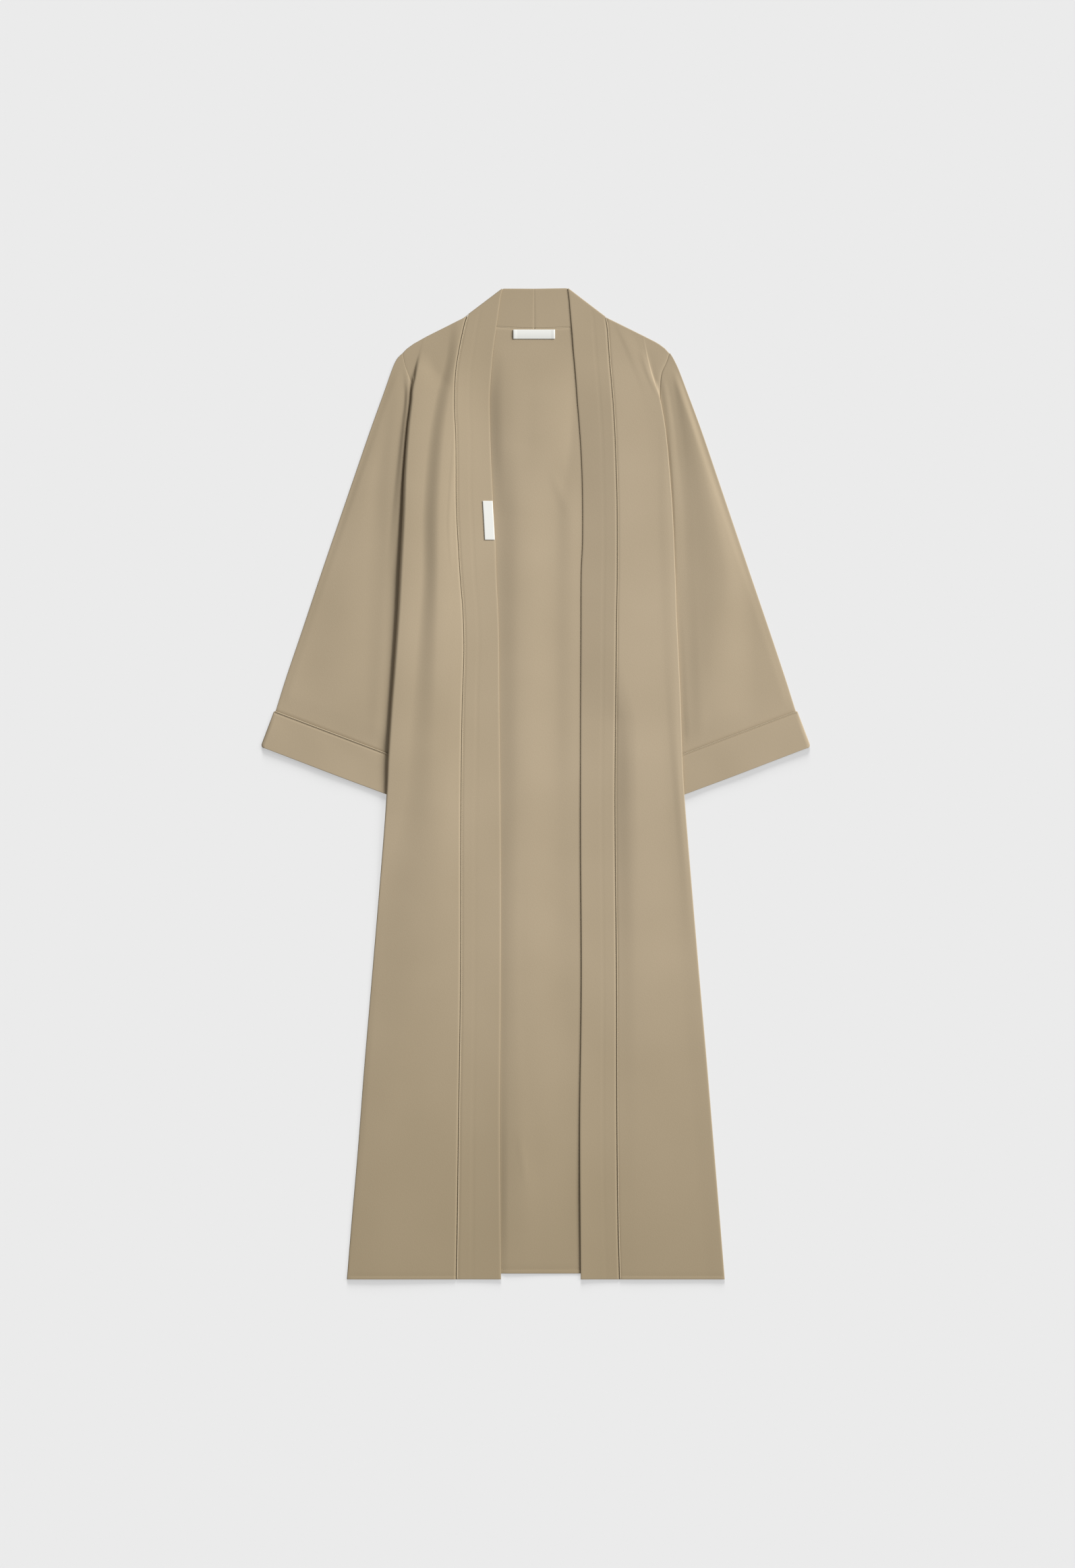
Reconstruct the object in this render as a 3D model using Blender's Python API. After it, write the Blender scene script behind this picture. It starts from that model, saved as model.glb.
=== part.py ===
# An open-fronted abaya cloak, laid flat with its fronts over its back.
#
# X runs across the cloak, towards the wearer's left. Y runs from hem to neck. Z is up
# from the surface that it lies on. The origin is under the middle of the cloak.
#
# Tables and sizes are in millimetres, and MM turns them into metres. A table's first
# column is the drop, the distance below the top of the collar, unless its note says
# otherwise. "out" is the distance from the centre line towards the side seam. Columns
# named right and left are the wearer's own right and left.

import math

import bpy
import bmesh
from mathutils import Vector

MM = 0.001

# Driving sizes
LENGTH = 1469.0          # top of the collar to the front hem
BACK_HEM_DROP = 1460.5   # the back is cut a little shorter
SEAM_GAP = 0.3           # between two pieces that are sewn together
CLOTH = 1.0              # wall of the single cloth
LAYER_GAP = 0.4          # air between two layers that lie on each other
BAND_CLOTH = 1.8         # wall of the doubled front band and collar
CUFF_CLOTH = 1.6         # wall of the doubled cuff
LABEL_CLOTH = 1.0
LABEL_GAP = 0.4
PIPING_RADIUS = 0.85
ARMHOLE_CLEAR = 0.75     # between sleeve and body, along the curved armhole
SLIP_CLEAR = 0.7         # more of it where the seam slips under the side edge
SLIP_START = (-12.0, 8.0)   # turn from which that grows, and the change in turn it takes
SLIP_END = (9.0, 4.0)    # turn at which it has gone again, and the change in turn it takes
ARMHOLE_POWER = 1.6      # closer columns towards the shoulder
CENTRE_BACK = -2.0       # X of the collar's centre-back seam

# Levels of the middle of each wall above the surface
LOW = CLOTH / 2
HIGH = CLOTH + LAYER_GAP + CLOTH / 2
FOLD_RADIUS = (HIGH - LOW) / 2          # of the middle of the wall, round a folded edge

SIDES = {"right": -1, "left": 1}
COLUMN = {"right": 1, "left": 2}

# The folded side edge of the body: drop, right out, left out
EDGE = (
    (76, 165.5, 160.0), (90, 169.5, 163.0), (110, 175.7, 167.5), (132, 180.5, 174.0),
    (150, 183.8, 181.0), (164, 184.8, 185.0), (209, 190.0, 192.6), (276, 195.0, 199.0),
    (340, 197.5, 203.5), (423, 201.8, 207.0), (480, 204.6, 208.8), (566, 210.4, 212.8),
    (624, 214.7, 215.2), (698, 219.0, 217.5), (747, 220.8, 220.0), (823, 226.2, 226.0),
    (1023, 243.0, 243.0), (1152, 254.0, 254.2), (1280, 263.9, 264.8),
    (1384, 273.0, 273.4), (1469, 280.0, 280.3),
)

# How far the cloth turns under from that edge to the armhole or side seam. A minus sign
# is where the armhole seam still lies outside the crease: drop, right, left
TURN_UNDER = (
    (97, -25.1, -34.7), (111, -18.4, -24.8), (125, -11.0, -15.3), (137, -4.3, -9.4),
    (147, -0.8, -4.8), (160, 2.4, -0.3), (170, 3.2, 2.4), (200, 4.0, 4.4),
    (250, 12.0, 12.0), (310, 28.0, 28.0), (352, 48.0, 48.0), (400, 24.0, 24.0),
    (450, 11.0, 11.0), (520, 6.0, 6.0), (600, 5.0, 5.0), (1469, 5.0, 5.0),
)
SHOULDER_END_DROP = 97.0
ARMPIT_DROP = 352.0
UNDER_TURNS = (-0.8, 2.4)     # turns between which the seam's end sinks to the lower layer
FOLDED_TURNS = (-9.0, -1.0)   # turns between which the open crease becomes a folded edge
OPENING = 3.6                 # width of the cloth's fall beside the open crease

# The shoulder fold: out, right drop, left drop
SHOULDER = (
    (101, 39.4, 41.0), (104, 41.9, 43.0), (107, 44.2, 44.7), (135, 58.3, 58.5),
    (160, 70.8, 70.9), (181, 82.5, 81.5), (191, 89.9, 89.0), (197, 96.1, 95.6),
    (200, 99.3, 99.0),
)

SHOULDER_START = 40.0    # drop from which rows follow the shoulder's slope
# The shoulder's edge rolls down over the back: drop below the fold, height above the front
SHOULDER_ROLL = ((0.55, -1.8), (0.55, -FOLD_RADIUS), (0.78, -0.205), (1.32, 0.0))
# Out near which a sloping row is taken to meet the side edge and the armhole seam
EDGE_GUESS = 168.0
SEAM_GUESS = 196.0

# The piping between front panel and band: drop, right out, left out
PIPING = (
    (39, 101.0, 104.0), (64, 107.0, 107.3), (95, 113.3, 109.5), (121, 117.3, 111.6),
    (148, 119.0, 114.0), (179, 119.5, 116.4), (213, 117.9, 118.3), (260, 117.3, 120.1),
    (324, 116.7, 121.7), (423, 111.4, 121.9), (480, 107.0, 121.0), (538, 105.6, 120.5),
    (624, 108.2, 119.7), (767, 110.0, 118.6), (1023, 110.6, 120.9),
    (1237, 113.4, 121.5), (1390, 115.3, 123.3), (1469, 116.7, 125.5),
)

# The free inner edge of the front band: drop, right out, left out
BAND_EDGE = (
    (0, 50.6, 48.9), (30, 54.6, 50.5), (65, 58.4, 53.0), (94, 63.3, 55.8),
    (130, 66.8, 59.2), (164, 68.9, 61.9), (215, 68.0, 66.2), (279, 65.7, 69.7),
    (372, 60.6, 70.4), (423, 59.0, 68.4), (509, 55.4, 68.0), (624, 54.5, 67.4),
    (823, 52.5, 67.4), (1023, 52.5, 68.6), (1237, 54.0, 66.3), (1469, 52.0, 67.3),
)

# How far the band's free edge lifts off the cloth below it: drop, right, left
BAND_LIFT = (
    (0, 0.0, 0.0), (60, 0.6, 0.3), (130, 1.2, 0.3), (230, 1.1, 0.0), (330, 0.5, 0.0),
    (700, 0.4, 0.0), (780, 0.3, 0.4), (1100, 0.3, 0.5), (1200, 0.5, 0.8), (1350, 1.0, 1.6),
    (1469, 0.6, 1.0),
)
BAND_LIFT_POWER = 2.5    # how soon that lift dies away across the band
COLLAR_LIFT = 0.8        # how far the collar's front lies above its back half
COLLAR_LIFT_DROPS = (112, 66)   # where that starts and is complete

# Where the collar's diagonal fold meets the free edge and the piping: out, drop
COLLAR_TOP = {"right": (49.3, 0.0), "left": (48.4, 0.0)}
COLLAR_NECK = {"right": (101.2, 39.5), "left": (105.2, 43.6)}
COLLAR_DIP = 1.0         # of the collar's top edge, at the centre back
COLLAR_CORNER = 0.2      # share of its back half in which the fold's corner levels out

# The back neck seam, on straight lines between its rows: out, drop
NECK_SEAM = ((-4, 59.7), (0, 59.7), (24, 59.4), (56, 57.6), (84, 50.5))
NECK_CLEAR = 1.4         # drop from that seam to the edges of collar and back panel
NECK_OUTS = (84, 56, 24)
NECK_END = 100.0         # out where the back's top edge changes from neck to shoulder
CORNER_OUT = 2.0         # from the collar's fold to the back panel's corner

# The sleeve's outer fold: drop, right out, left out
SLEEVE_FOLD = (
    (97, 198.0, 200.6), (101.5, 203.2, 203.6), (108, 207.8, 206.9), (119, 212.6, 211.9),
    (153, 224.3, 224.3), (209, 244.4, 244.8), (270, 265.5, 265.7), (423, 318.0, 317.7),
    (509, 346.8, 347.0), (579, 370.6, 370.4), (627, 385.6, 385.6),
)

CUFF_TILT = math.radians(20.7)
CUFF_CORNER = (388.3, 628.0)   # out and drop of its upper outer corner
CUFF_WIDTH = 246.0
CUFF_DEPTH = 55.0
CUFF_ROUNDING = 5.0            # of the lower corners
SLEEVE_INSET = 2.6             # of the sleeve's ends from the ends of the cuff
CUFF_PIPING_INSET = 1.2
CUFF_PIPING_RISE = 2.0         # from its lower run to its upper one
SLEEVE_CROWN = 1.2             # how far the sleeve's upper wall swells
# How far from the body's edge, the outer fold, the shoulder and the cuff the swell starts,
# and over what length it grows
CROWN_FROM_BODY = (5.0, 14.0)
CROWN_FROM_FOLD = (3.0, 16.0)
CROWN_FROM_SHOULDER = (108.0, 40.0)
CROWN_FROM_CUFF = 40.0

# How high the body's sides lie above the surface, over the sleeves and cuffs
FRONT_RISE = (
    (70, 0.0), (100, 0.4), (125, 1.4), (148, 2.75), (640, 2.75), (680, 4.1), (775, 4.1),
    (840, 2.7), (930, 1.0), (1040, 0.0),
)
BACK_RISE = ((325, 0.0), (345, 2.75), (640, 2.75), (680, 4.1), (775, 4.1), (840, 0.0))
# Out where that rise starts and is complete. Its drop comes first
FRONT_RAMPS = {
    "right": ((40, 75, 140), (300, 70, 142), (640, 70, 142), (1040, 70, 160)),
    "left": (
        (40, 90, 116), (230, 90, 116), (330, 66, 122), (540, 66, 122), (640, 106, 142),
        (1040, 106, 160),
    ),
}
BACK_RAMP = (124.0, 146.0)

# How far the folded side edge stands up, and how far in from it that lift starts: drop,
# right, left
EDGE_LIFT = (
    (96, 0.0, 0.0), (108, 1.0, 0.0), (120, 2.2, 0.0), (150, 3.6, 0.2), (210, 6.0, 0.3),
    (300, 7.6, 0.3), (430, 7.6, 0.3), (560, 6.0, 0.3), (680, 4.2, 0.4), (780, 1.2, 0.4),
    (900, 0.6, 0.4), (1469, 0.6, 0.4),
)
LIFT_REACH = ((96, 16, 16), (120, 30, 20), (150, 64, 26), (230, 84, 30), (1469, 84, 30))

# The largest folds. Each row has a drop, and there the crest's out, its height, and the
# fold's width towards the centre and away from it
FRONT_FOLDS = {
    "right": (
        (
            (40, 112, 0.0, 50, 14), (110, 118, 2.6, 58, 17), (160, 127, 4.2, 66, 21),
            (230, 136, 5.2, 66, 24), (330, 142, 6.2, 61, 26), (430, 143, 5.6, 60, 26),
            (540, 146, 4.7, 62, 31), (650, 150, 3.0, 64, 36), (780, 154, 2.2, 68, 44),
            (900, 162, 2.6, 84, 72), (1050, 178, 2.2, 100, 84), (1200, 208, 1.4, 120, 80),
            (1350, 220, 0.9, 120, 70), (1469, 224, 0.7, 120, 60),
        ),
    ),
    "left": (
        (
            (110, 116, 0.0, 45, 60), (160, 116, 0.8, 45, 70), (230, 117, 1.4, 46, 84),
            (330, 118, 1.2, 46, 92), (430, 118, 1.0, 46, 92), (540, 118, 0.9, 46, 90),
            (600, 126, 1.4, 36, 80), (650, 137, 1.1, 26, 72), (780, 142, 1.1, 28, 68),
            (900, 147, 1.6, 30, 72), (1050, 150, 1.4, 34, 80), (1220, 152, 0.6, 36, 80),
            (1469, 152, 0.2, 36, 80),
        ),
    ),
}
# On the back panel and across to the wearer's left, X takes the place of out
BACK_FOLDS = (
    (
        (112, -4, 0.0, 60, 58), (140, -5, 2.8, 64, 60), (170, -6, 4.4, 66, 62),
        (230, -8, 4.2, 62, 60), (290, -12, 1.6, 54, 56), (340, -14, 0.0, 50, 52),
    ),
    (
        (230, -24, 0.0, 42, 62), (290, -24, 2.2, 42, 62), (340, -23, 3.4, 40, 62),
        (540, -24, 3.4, 38, 62), (780, -24, 2.8, 38, 62), (1050, -24, 2.2, 38, 72),
        (1200, -18, 1.7, 44, 76), (1320, -10, 2.0, 44, 72), (1400, -4, 1.0, 46, 60),
        (1461, 0, 0.2, 48, 60),
    ),
)
SLEEVE_FOLDS = {
    "right": (
        (
            (150, 194, 0.0, 8, 28), (210, 202, 2.4, 9, 28), (330, 210, 2.8, 10, 32),
            (480, 217, 2.6, 10, 32), (600, 226, 2.2, 10, 30), (690, 230, 0.0, 8, 30),
        ),
        (
            (200, 230, 0.0, 16, 16), (300, 262, 2.2, 22, 22), (430, 284, 2.8, 30, 30),
            (560, 312, 2.6, 32, 32), (640, 330, 0.0, 30, 30),
        ),
    ),
    "left": (
        (
            (130, 212, 0.0, 8, 8), (160, 216, 0.8, 11, 9), (230, 237, 1.7, 24, 15),
            (330, 261, 2.6, 42, 25), (430, 278, 3.2, 58, 40), (540, 266, 3.2, 50, 60),
            (640, 256, 1.6, 38, 70), (700, 256, 0.0, 38, 60),
        ),
    ),
}
FOLD_FADE = 8.0          # how near the side edge the body's folds fade out

# Rows of the front panel: drop at the neck side, and how much of the shoulder's slope
# the row still follows. A row whose slope is 0 is level
FRONT_ROWS = (
    (50, 0.94), (61, 0.87), (73, 0.78), (85, 0.70), (97, 0.62), (108, 0.55),
    (118, 0.50), (127, 0.44), (136, 0.38), (145, 0.32), (156, 0.26), (176, 0.16),
    (204, 0.06), (240, 0.0),
)
# Level rows that front, back, piping and band share
SHARED_ROWS = (
    285, 325, 345, 360, 390, 430, 480, 560, 640, 680, 730, 775, 806, 840, 930, 1040,
    1150, 1260, 1370,
)
BACK_TOP_ROWS = (112, 130, 148, 190, 240)
# Above this drop the band's rows turn from level towards the collar's fold
BAND_TURN_START = 128.0
BAND_TURN = 38.0         # how much higher the free edge's end of the last such row is
BAND_TURN_POWER = 1.5
BAND_STEPS = (0.0, 0.25, 0.5, 0.75, 1.0)
# Columns between the piping and the turn of the side edge, as shares of that width
FIELD_STEPS = (0.0, 0.09, 0.19, 0.30, 0.42, 0.54, 0.66, 0.78, 0.89)
# Columns of the back panel: out on the top edge, out on the level rows. None is the
# corner between neck and shoulder
BACK_COLUMNS = (
    (0, 0), (24, 24), (56, 56), (84, 90), (None, 124), (124, 131), (146, 138), (166, 146),
)
SHOULDER_SET_BACK = 2.4  # drop from the shoulder fold to the back panel's edge

SLEEVE_STEPS_ALONG = (0.0, 0.03, 0.08, 0.15, 0.25, 0.37, 0.5, 0.63, 0.76, 0.88, 1.0)
SLEEVE_STEPS_ACROSS = (0.12, 0.24, 0.36, 0.48, 0.61, 0.74, 0.87)
CUFF_STEPS_ACROSS = (0.2, 0.4, 0.6, 0.8)
# Rings of the cuff: share of its depth, share of the corner's rounding
CUFF_RINGS = ((0.0, 0.0), (0.33, 0.0), (0.66, 0.0), (0.91, 0.0), (0.955, 0.13), (1.0, 0.7))

NECK_LABEL = {"from": (-33.0, 62.0), "to": (29.0, 76.0)}    # X and drop of its corners
SIDE_LABEL = {"drops": (316, 335, 354, 373), "inset": 0.5, "width": 14.0}

CLOTH_COLOUR = (0.445, 0.361, 0.246)
PIPING_COLOUR = (0.491, 0.402, 0.278)
LABEL_COLOUR = (0.807, 0.800, 0.760)


def smooth(share):
    """An S-shaped step from 0 to 1."""
    share = min(max(share, 0.0), 1.0)
    return share * share * (3.0 - 2.0 * share)


def span(rows, place):
    """The row that starts the span holding this place."""
    index = 0
    while index < len(rows) - 2 and rows[index + 1][0] <= place:
        index += 1
    return index


def straight(rows, place, column=1):
    """A table's value on straight lines between its rows."""
    i = span(rows, place)
    share = (place - rows[i][0]) / (rows[i + 1][0] - rows[i][0])
    share = min(max(share, 0.0), 1.0)
    return rows[i][column] + share * (rows[i + 1][column] - rows[i][column])


def curved(rows, place, column=1):
    """A table's value on a smooth curve through its rows."""
    i = span(rows, place)
    start, end = rows[i], rows[i + 1]
    before, after = rows[max(i - 1, 0)], rows[min(i + 2, len(rows) - 1)]
    step = end[0] - start[0]
    share = min(max((place - start[0]) / step, 0.0), 1.0)
    slope_in = (end[column] - before[column]) / (end[0] - before[0]) * step
    slope_out = (after[column] - start[column]) / (after[0] - start[0]) * step
    square, cube = share**2, share**3
    return (
        (2 * cube - 3 * square + 1) * start[column]
        + (cube - 2 * square + share) * slope_in
        + (3 * square - 2 * cube) * end[column]
        + (cube - square) * slope_out
    )


def fold_height(folds, out, drop):
    """Height that the folds add at a point."""
    height = 0.0
    for rows in folds:
        if rows[0][0] < drop < rows[-1][0]:
            offset = out - curved(rows, drop)
            width = curved(rows, drop, 3 if offset < 0 else 4)
            share = min(abs(offset) / width, 1.0)
            height += curved(rows, drop, 2) * math.cos(math.pi / 2 * share) ** 2
    return height


def edge_out(side, drop):
    return curved(EDGE, drop, COLUMN[side])


def seam_out(side, drop):
    """Out of the armhole seam, and below the armpit of the side seam."""
    return edge_out(side, drop) - straight(TURN_UNDER, drop, COLUMN[side])


def point(side, out, drop, height):
    return Vector((SIDES[side] * out, LENGTH / 2 - drop, height)) * MM


def finish(name, colour, roughness):
    material = bpy.data.materials.new(name)
    material.use_nodes = True
    shader = material.node_tree.nodes["Principled BSDF"]
    shader.inputs["Base Color"].default_value = (*colour, 1.0)
    shader.inputs["Roughness"].default_value = roughness
    shader.inputs["Metallic"].default_value = 0.0
    material.diffuse_color = (*colour, 1.0)
    return material


def add_object(name, points, faces, colour, roughness):
    """A closed mesh as an object, turned so that its faces point out."""
    shape = bmesh.new()
    corners = [shape.verts.new(place) for place in points]
    for face in faces:
        shape.faces.new([corners[index] for index in face])
    if shape.calc_volume(signed=True) < 0:
        bmesh.ops.reverse_faces(shape, faces=shape.faces)
    mesh = bpy.data.meshes.new(name)
    shape.to_mesh(mesh)
    shape.free()
    mesh.shade_smooth()
    mesh.set_sharp_from_angle(angle=math.radians(50))
    mesh.materials.append(finish(name, colour, roughness))
    made = bpy.data.objects.new(name, mesh)
    bpy.context.scene.collection.objects.link(made)
    return made


def normal_at(rows, i, j, ring):
    """The direction across the wall at one middle point of a grid."""
    last = len(rows[i]) - 1
    if ring:
        across = rows[i][(j + 1) % (last + 1)] - rows[i][j - 1]
    else:
        across = rows[i][min(j + 1, last)] - rows[i][max(j - 1, 0)]
    down = rows[min(i + 1, len(rows) - 1)][j] - rows[max(i - 1, 0)][j]
    return across.cross(down).normalized()


def add_wall(name, rows, thickness, colour, ring=False):
    """A wall of cloth, half its thickness to each side of a grid of middle points.

    ring closes each row into a tube.
    """
    count, wide = len(rows), len(rows[0])
    upper, lower = [], []
    for i in range(count):
        for j in range(wide):
            across = normal_at(rows, i, j, ring) * (thickness / 2 * MM)
            upper.append(rows[i][j] + across)
            lower.append(rows[i][j] - across)
    half = count * wide
    faces = []
    for i in range(count - 1):
        for j in range(wide if ring else wide - 1):
            a, b = i * wide + j, i * wide + (j + 1) % wide
            c, d = b + wide, a + wide
            faces.append((a, b, c, d))
            faces.append((half + d, half + c, half + b, half + a))
    for i, turned in ((0, True), (count - 1, False)):
        for j in range(wide if ring else wide - 1):
            a, b = i * wide + j, i * wide + (j + 1) % wide
            face = (a, b, half + b, half + a)
            faces.append(face[::-1] if turned else face)
    if not ring:
        for j, turned in ((0, False), (wide - 1, True)):
            for i in range(count - 1):
                a, b = i * wide + j, (i + 1) * wide + j
                face = (a, b, half + b, half + a)
                faces.append(face[::-1] if turned else face)
    return add_object(name, upper + lower, faces, colour, 0.8)


def add_cord(name, path, radius, colour, closed=False, around=6):
    """A round cord along a path."""
    count = len(path)
    points, faces = [], []
    up = Vector((0, 0, 1))
    for i in range(count):
        ahead = path[(i + 1) % count] if closed or i + 1 < count else path[i]
        behind = path[i - 1] if closed or i > 0 else path[i]
        along = (ahead - behind).normalized()
        up = (up - along * up.dot(along)).normalized()
        beside = along.cross(up)
        for k in range(around):
            angle = 2 * math.pi * (k + 0.5) / around
            points.append(path[i] + (up * math.cos(angle) + beside * math.sin(angle)) * radius * MM)
    for i in range(count if closed else count - 1):
        for k in range(around):
            a, b = i * around + k, i * around + (k + 1) % around
            c, d = (b + around) % len(points), (a + around) % len(points)
            faces.append((a, b, c, d))
    if not closed:
        faces.append(tuple(reversed(range(around))))
        faces.append(tuple(range(len(points) - around, len(points))))
    return add_object(name, points, faces, colour, 0.7)


# Front panels

def body_lift(side, out, drop):
    """How far the cloth below and the folds raise the front, its piping and the band."""
    start, end = (straight(FRONT_RAMPS[side], drop, k) for k in (1, 2))
    rise = straight(FRONT_RISE, drop) * smooth((out - start) / (end - start))
    fade = smooth((edge_out(side, drop) - out) / FOLD_FADE)
    return rise + fold_height(FRONT_FOLDS[side], out, drop) * fade


def piping_lift(side, drop):
    return body_lift(side, curved(PIPING, drop, COLUMN[side]), drop)


def front_field_height(side, out, drop):
    """Middle of the upper layer, between the piping and the side edge."""
    column = COLUMN[side]
    inward = (edge_out(side, drop) - out) / straight(LIFT_REACH, drop, column)
    lift = straight(EDGE_LIFT, drop, column) * smooth(1.0 - inward)
    return HIGH + body_lift(side, out, drop) + lift


def side_turn(side, edge_drop, seam_drop):
    """The last seven middle points of a row: round the side edge to the seam.

    Below the place where the armhole seam slips under, the cloth folds round an arc.
    Above it, the crease opens and the cloth falls beside it, then runs on to the seam.
    """
    edge = edge_out(side, edge_drop)
    turn = straight(TURN_UNDER, seam_drop, COLUMN[side])
    seam = seam_out(side, seam_drop)
    rise = straight(FRONT_RISE, edge_drop)
    lift = straight(EDGE_LIFT, edge_drop, COLUMN[side])
    top = HIGH + rise + lift
    radius = FOLD_RADIUS + lift / 2
    under = smooth((turn - UNDER_TURNS[0]) / (UNDER_TURNS[1] - UNDER_TURNS[0]))
    end = HIGH + (LOW + rise - HIGH) * under
    centre = (edge - radius - CLOTH / 2, top - radius)
    reach = (seam - centre[0], end - centre[1])
    bearing = math.atan2(reach[1], reach[0])
    if bearing > math.pi / 2:
        bearing -= 2 * math.pi
    far = max(math.hypot(*reach), radius)
    angle = math.pi / 2 - bearing - math.acos(radius / far)
    folded = smooth((turn - FOLDED_TURNS[0]) / (FOLDED_TURNS[1] - FOLDED_TURNS[0]))
    points = [(centre[0], top)]
    for k in range(1, 5):
        bent = angle * k / 4
        arc = (centre[0] + radius * math.sin(bent), centre[1] + radius * math.cos(bent))
        if folded < 1.0:
            open_place = (centre[0] + OPENING * k / 4, top + (end - top) * smooth(k / 4))
            arc = tuple(o + (a - o) * folded for a, o in zip(arc, open_place))
        points.append(arc)
    last = points[-1]
    points.append(((last[0] + seam) / 2, (last[1] + end) / 2))
    points.append((seam, end))
    return points


def sloped_drop(side, base, slope, out):
    """Drop of a front row at a place across it, part level and part along the shoulder."""
    return base + (straight(SHOULDER, out, COLUMN[side]) - SHOULDER_START) * slope


def piping_drop(side, base, slope):
    """Drop at which a front row meets the piping."""
    drop = base
    for _ in range(4):
        drop = sloped_drop(side, base, slope, curved(PIPING, drop, COLUMN[side]))
    return drop


def front_row(side, base, slope, lift=0.0):
    """One row of middle points, from the piping to the side seam."""

    def drop_at(out):
        return sloped_drop(side, base, slope, out)

    inner = curved(PIPING, piping_drop(side, base, slope), COLUMN[side])
    inner += PIPING_RADIUS + SEAM_GAP
    edge_drop = drop_at(EDGE_GUESS)
    seam_drop = drop_at(seam_out(side, drop_at(SEAM_GUESS)))
    turn = side_turn(side, edge_drop, seam_drop)
    places = []
    for share in FIELD_STEPS:
        out = inner + share * (turn[0][0] - inner)
        places.append((out, front_field_height(side, out, drop_at(out))))
    places += turn
    return [point(side, out, drop_at(out), height + lift) for out, height in places]


def add_front_panel(side):
    rows = [front_row(side, SHOULDER_START + drop, 1.0, lift) for drop, lift in SHOULDER_ROLL]
    rows += [front_row(side, base, slope) for base, slope in FRONT_ROWS]
    rows += [front_row(side, drop, 0.0) for drop in (*SHARED_ROWS, LENGTH)]
    add_wall(f"front_panel_{side}", rows, CLOTH, CLOTH_COLOUR)


# Back panel

def back_height(x, drop):
    out = abs(x)
    ramp = smooth((out - BACK_RAMP[0]) / (BACK_RAMP[1] - BACK_RAMP[0]))
    return LOW + straight(BACK_RISE, drop) * ramp + fold_height(BACK_FOLDS, x, drop)


def back_top_drop(side, out):
    """Drop of the back panel's top edge: the neck seam, then the shoulder."""
    if out < NECK_END:
        return straight(NECK_SEAM, out) + NECK_CLEAR
    return straight(SHOULDER, out, COLUMN[side]) + SHOULDER_SET_BACK


def back_half_row(side, drop):
    """Points from the centre line to the seam. A drop of None is the top edge."""
    corner = COLLAR_NECK[side][0] + CORNER_OUT
    if drop is None:
        outs = [corner if out is None else out for out, _ in BACK_COLUMNS]
        seam = seam_out(side, SHOULDER_END_DROP) - ARMHOLE_CLEAR
    else:
        outs = [out for _, out in BACK_COLUMNS]
        seam = seam_out(side, drop) - (ARMHOLE_CLEAR if drop < ARMPIT_DROP else SEAM_GAP)
    outs += [(outs[-1] + seam) / 2, seam]
    places = [(out, back_top_drop(side, out) if drop is None else drop) for out in outs]
    sign = SIDES[side]
    return [point(side, out, place, back_height(sign * out, place)) for out, place in places]


def add_back_panel():
    rows = []
    for drop in (None, *BACK_TOP_ROWS, *SHARED_ROWS, BACK_HEM_DROP):
        right, left = back_half_row("right", drop), back_half_row("left", drop)
        rows.append(right[:0:-1] + left)
    add_wall("back_panel", rows, CLOTH, CLOTH_COLOUR)


# Front bands and collar, each half one strip

def band_base(drop):
    """Middle of the band at its piping edge. It rises where the back collar is below."""
    start, end = COLLAR_LIFT_DROPS
    return CLOTH + LAYER_GAP + BAND_CLOTH / 2 + COLLAR_LIFT * smooth((start - drop) / (start - end))


def band_point(side, share, inner_drop, outer_drop):
    """A middle point of the band in front. share is 0 at the free edge, 1 at the piping."""
    column = COLUMN[side]
    inner = curved(BAND_EDGE, inner_drop, column)
    outer = curved(PIPING, outer_drop, column) - PIPING_RADIUS - SEAM_GAP
    drop = inner_drop + share * (outer_drop - inner_drop)
    lift = straight(BAND_LIFT, drop, column) * (1.0 - share) ** BAND_LIFT_POWER
    height = band_base(drop) + lift + piping_lift(side, outer_drop) * share
    return point(side, inner + share * (outer - inner), drop, height)


def collar_fold(side):
    """Free-edge end, piping end, and outward direction of the collar's fold, in plan."""
    top, neck = Vector(COLLAR_TOP[side]), Vector(COLLAR_NECK[side])
    run = (neck - top).normalized()
    return top, neck, Vector((run.y, -run.x))


def fold_arc(upper, lower):
    """Reach and height of five middle points round a fold between two levels."""
    radius = (upper - lower) / 2
    centre = (upper + lower) / 2
    for k in range(5):
        angle = math.pi * k / 4
        yield radius * math.sin(angle), centre + radius * math.cos(angle)


def centre_back_out(side):
    """Out of this half's end at the centre back."""
    return SIDES[side] * CENTRE_BACK + SEAM_GAP / 2


def band_drops(side):
    """Drops of the band's rows at the piping, from the hem up, as the front has them."""
    drops = [LENGTH, *reversed(SHARED_ROWS)]
    return drops + [piping_drop(side, *row) for row in reversed(FRONT_ROWS)]


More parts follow.
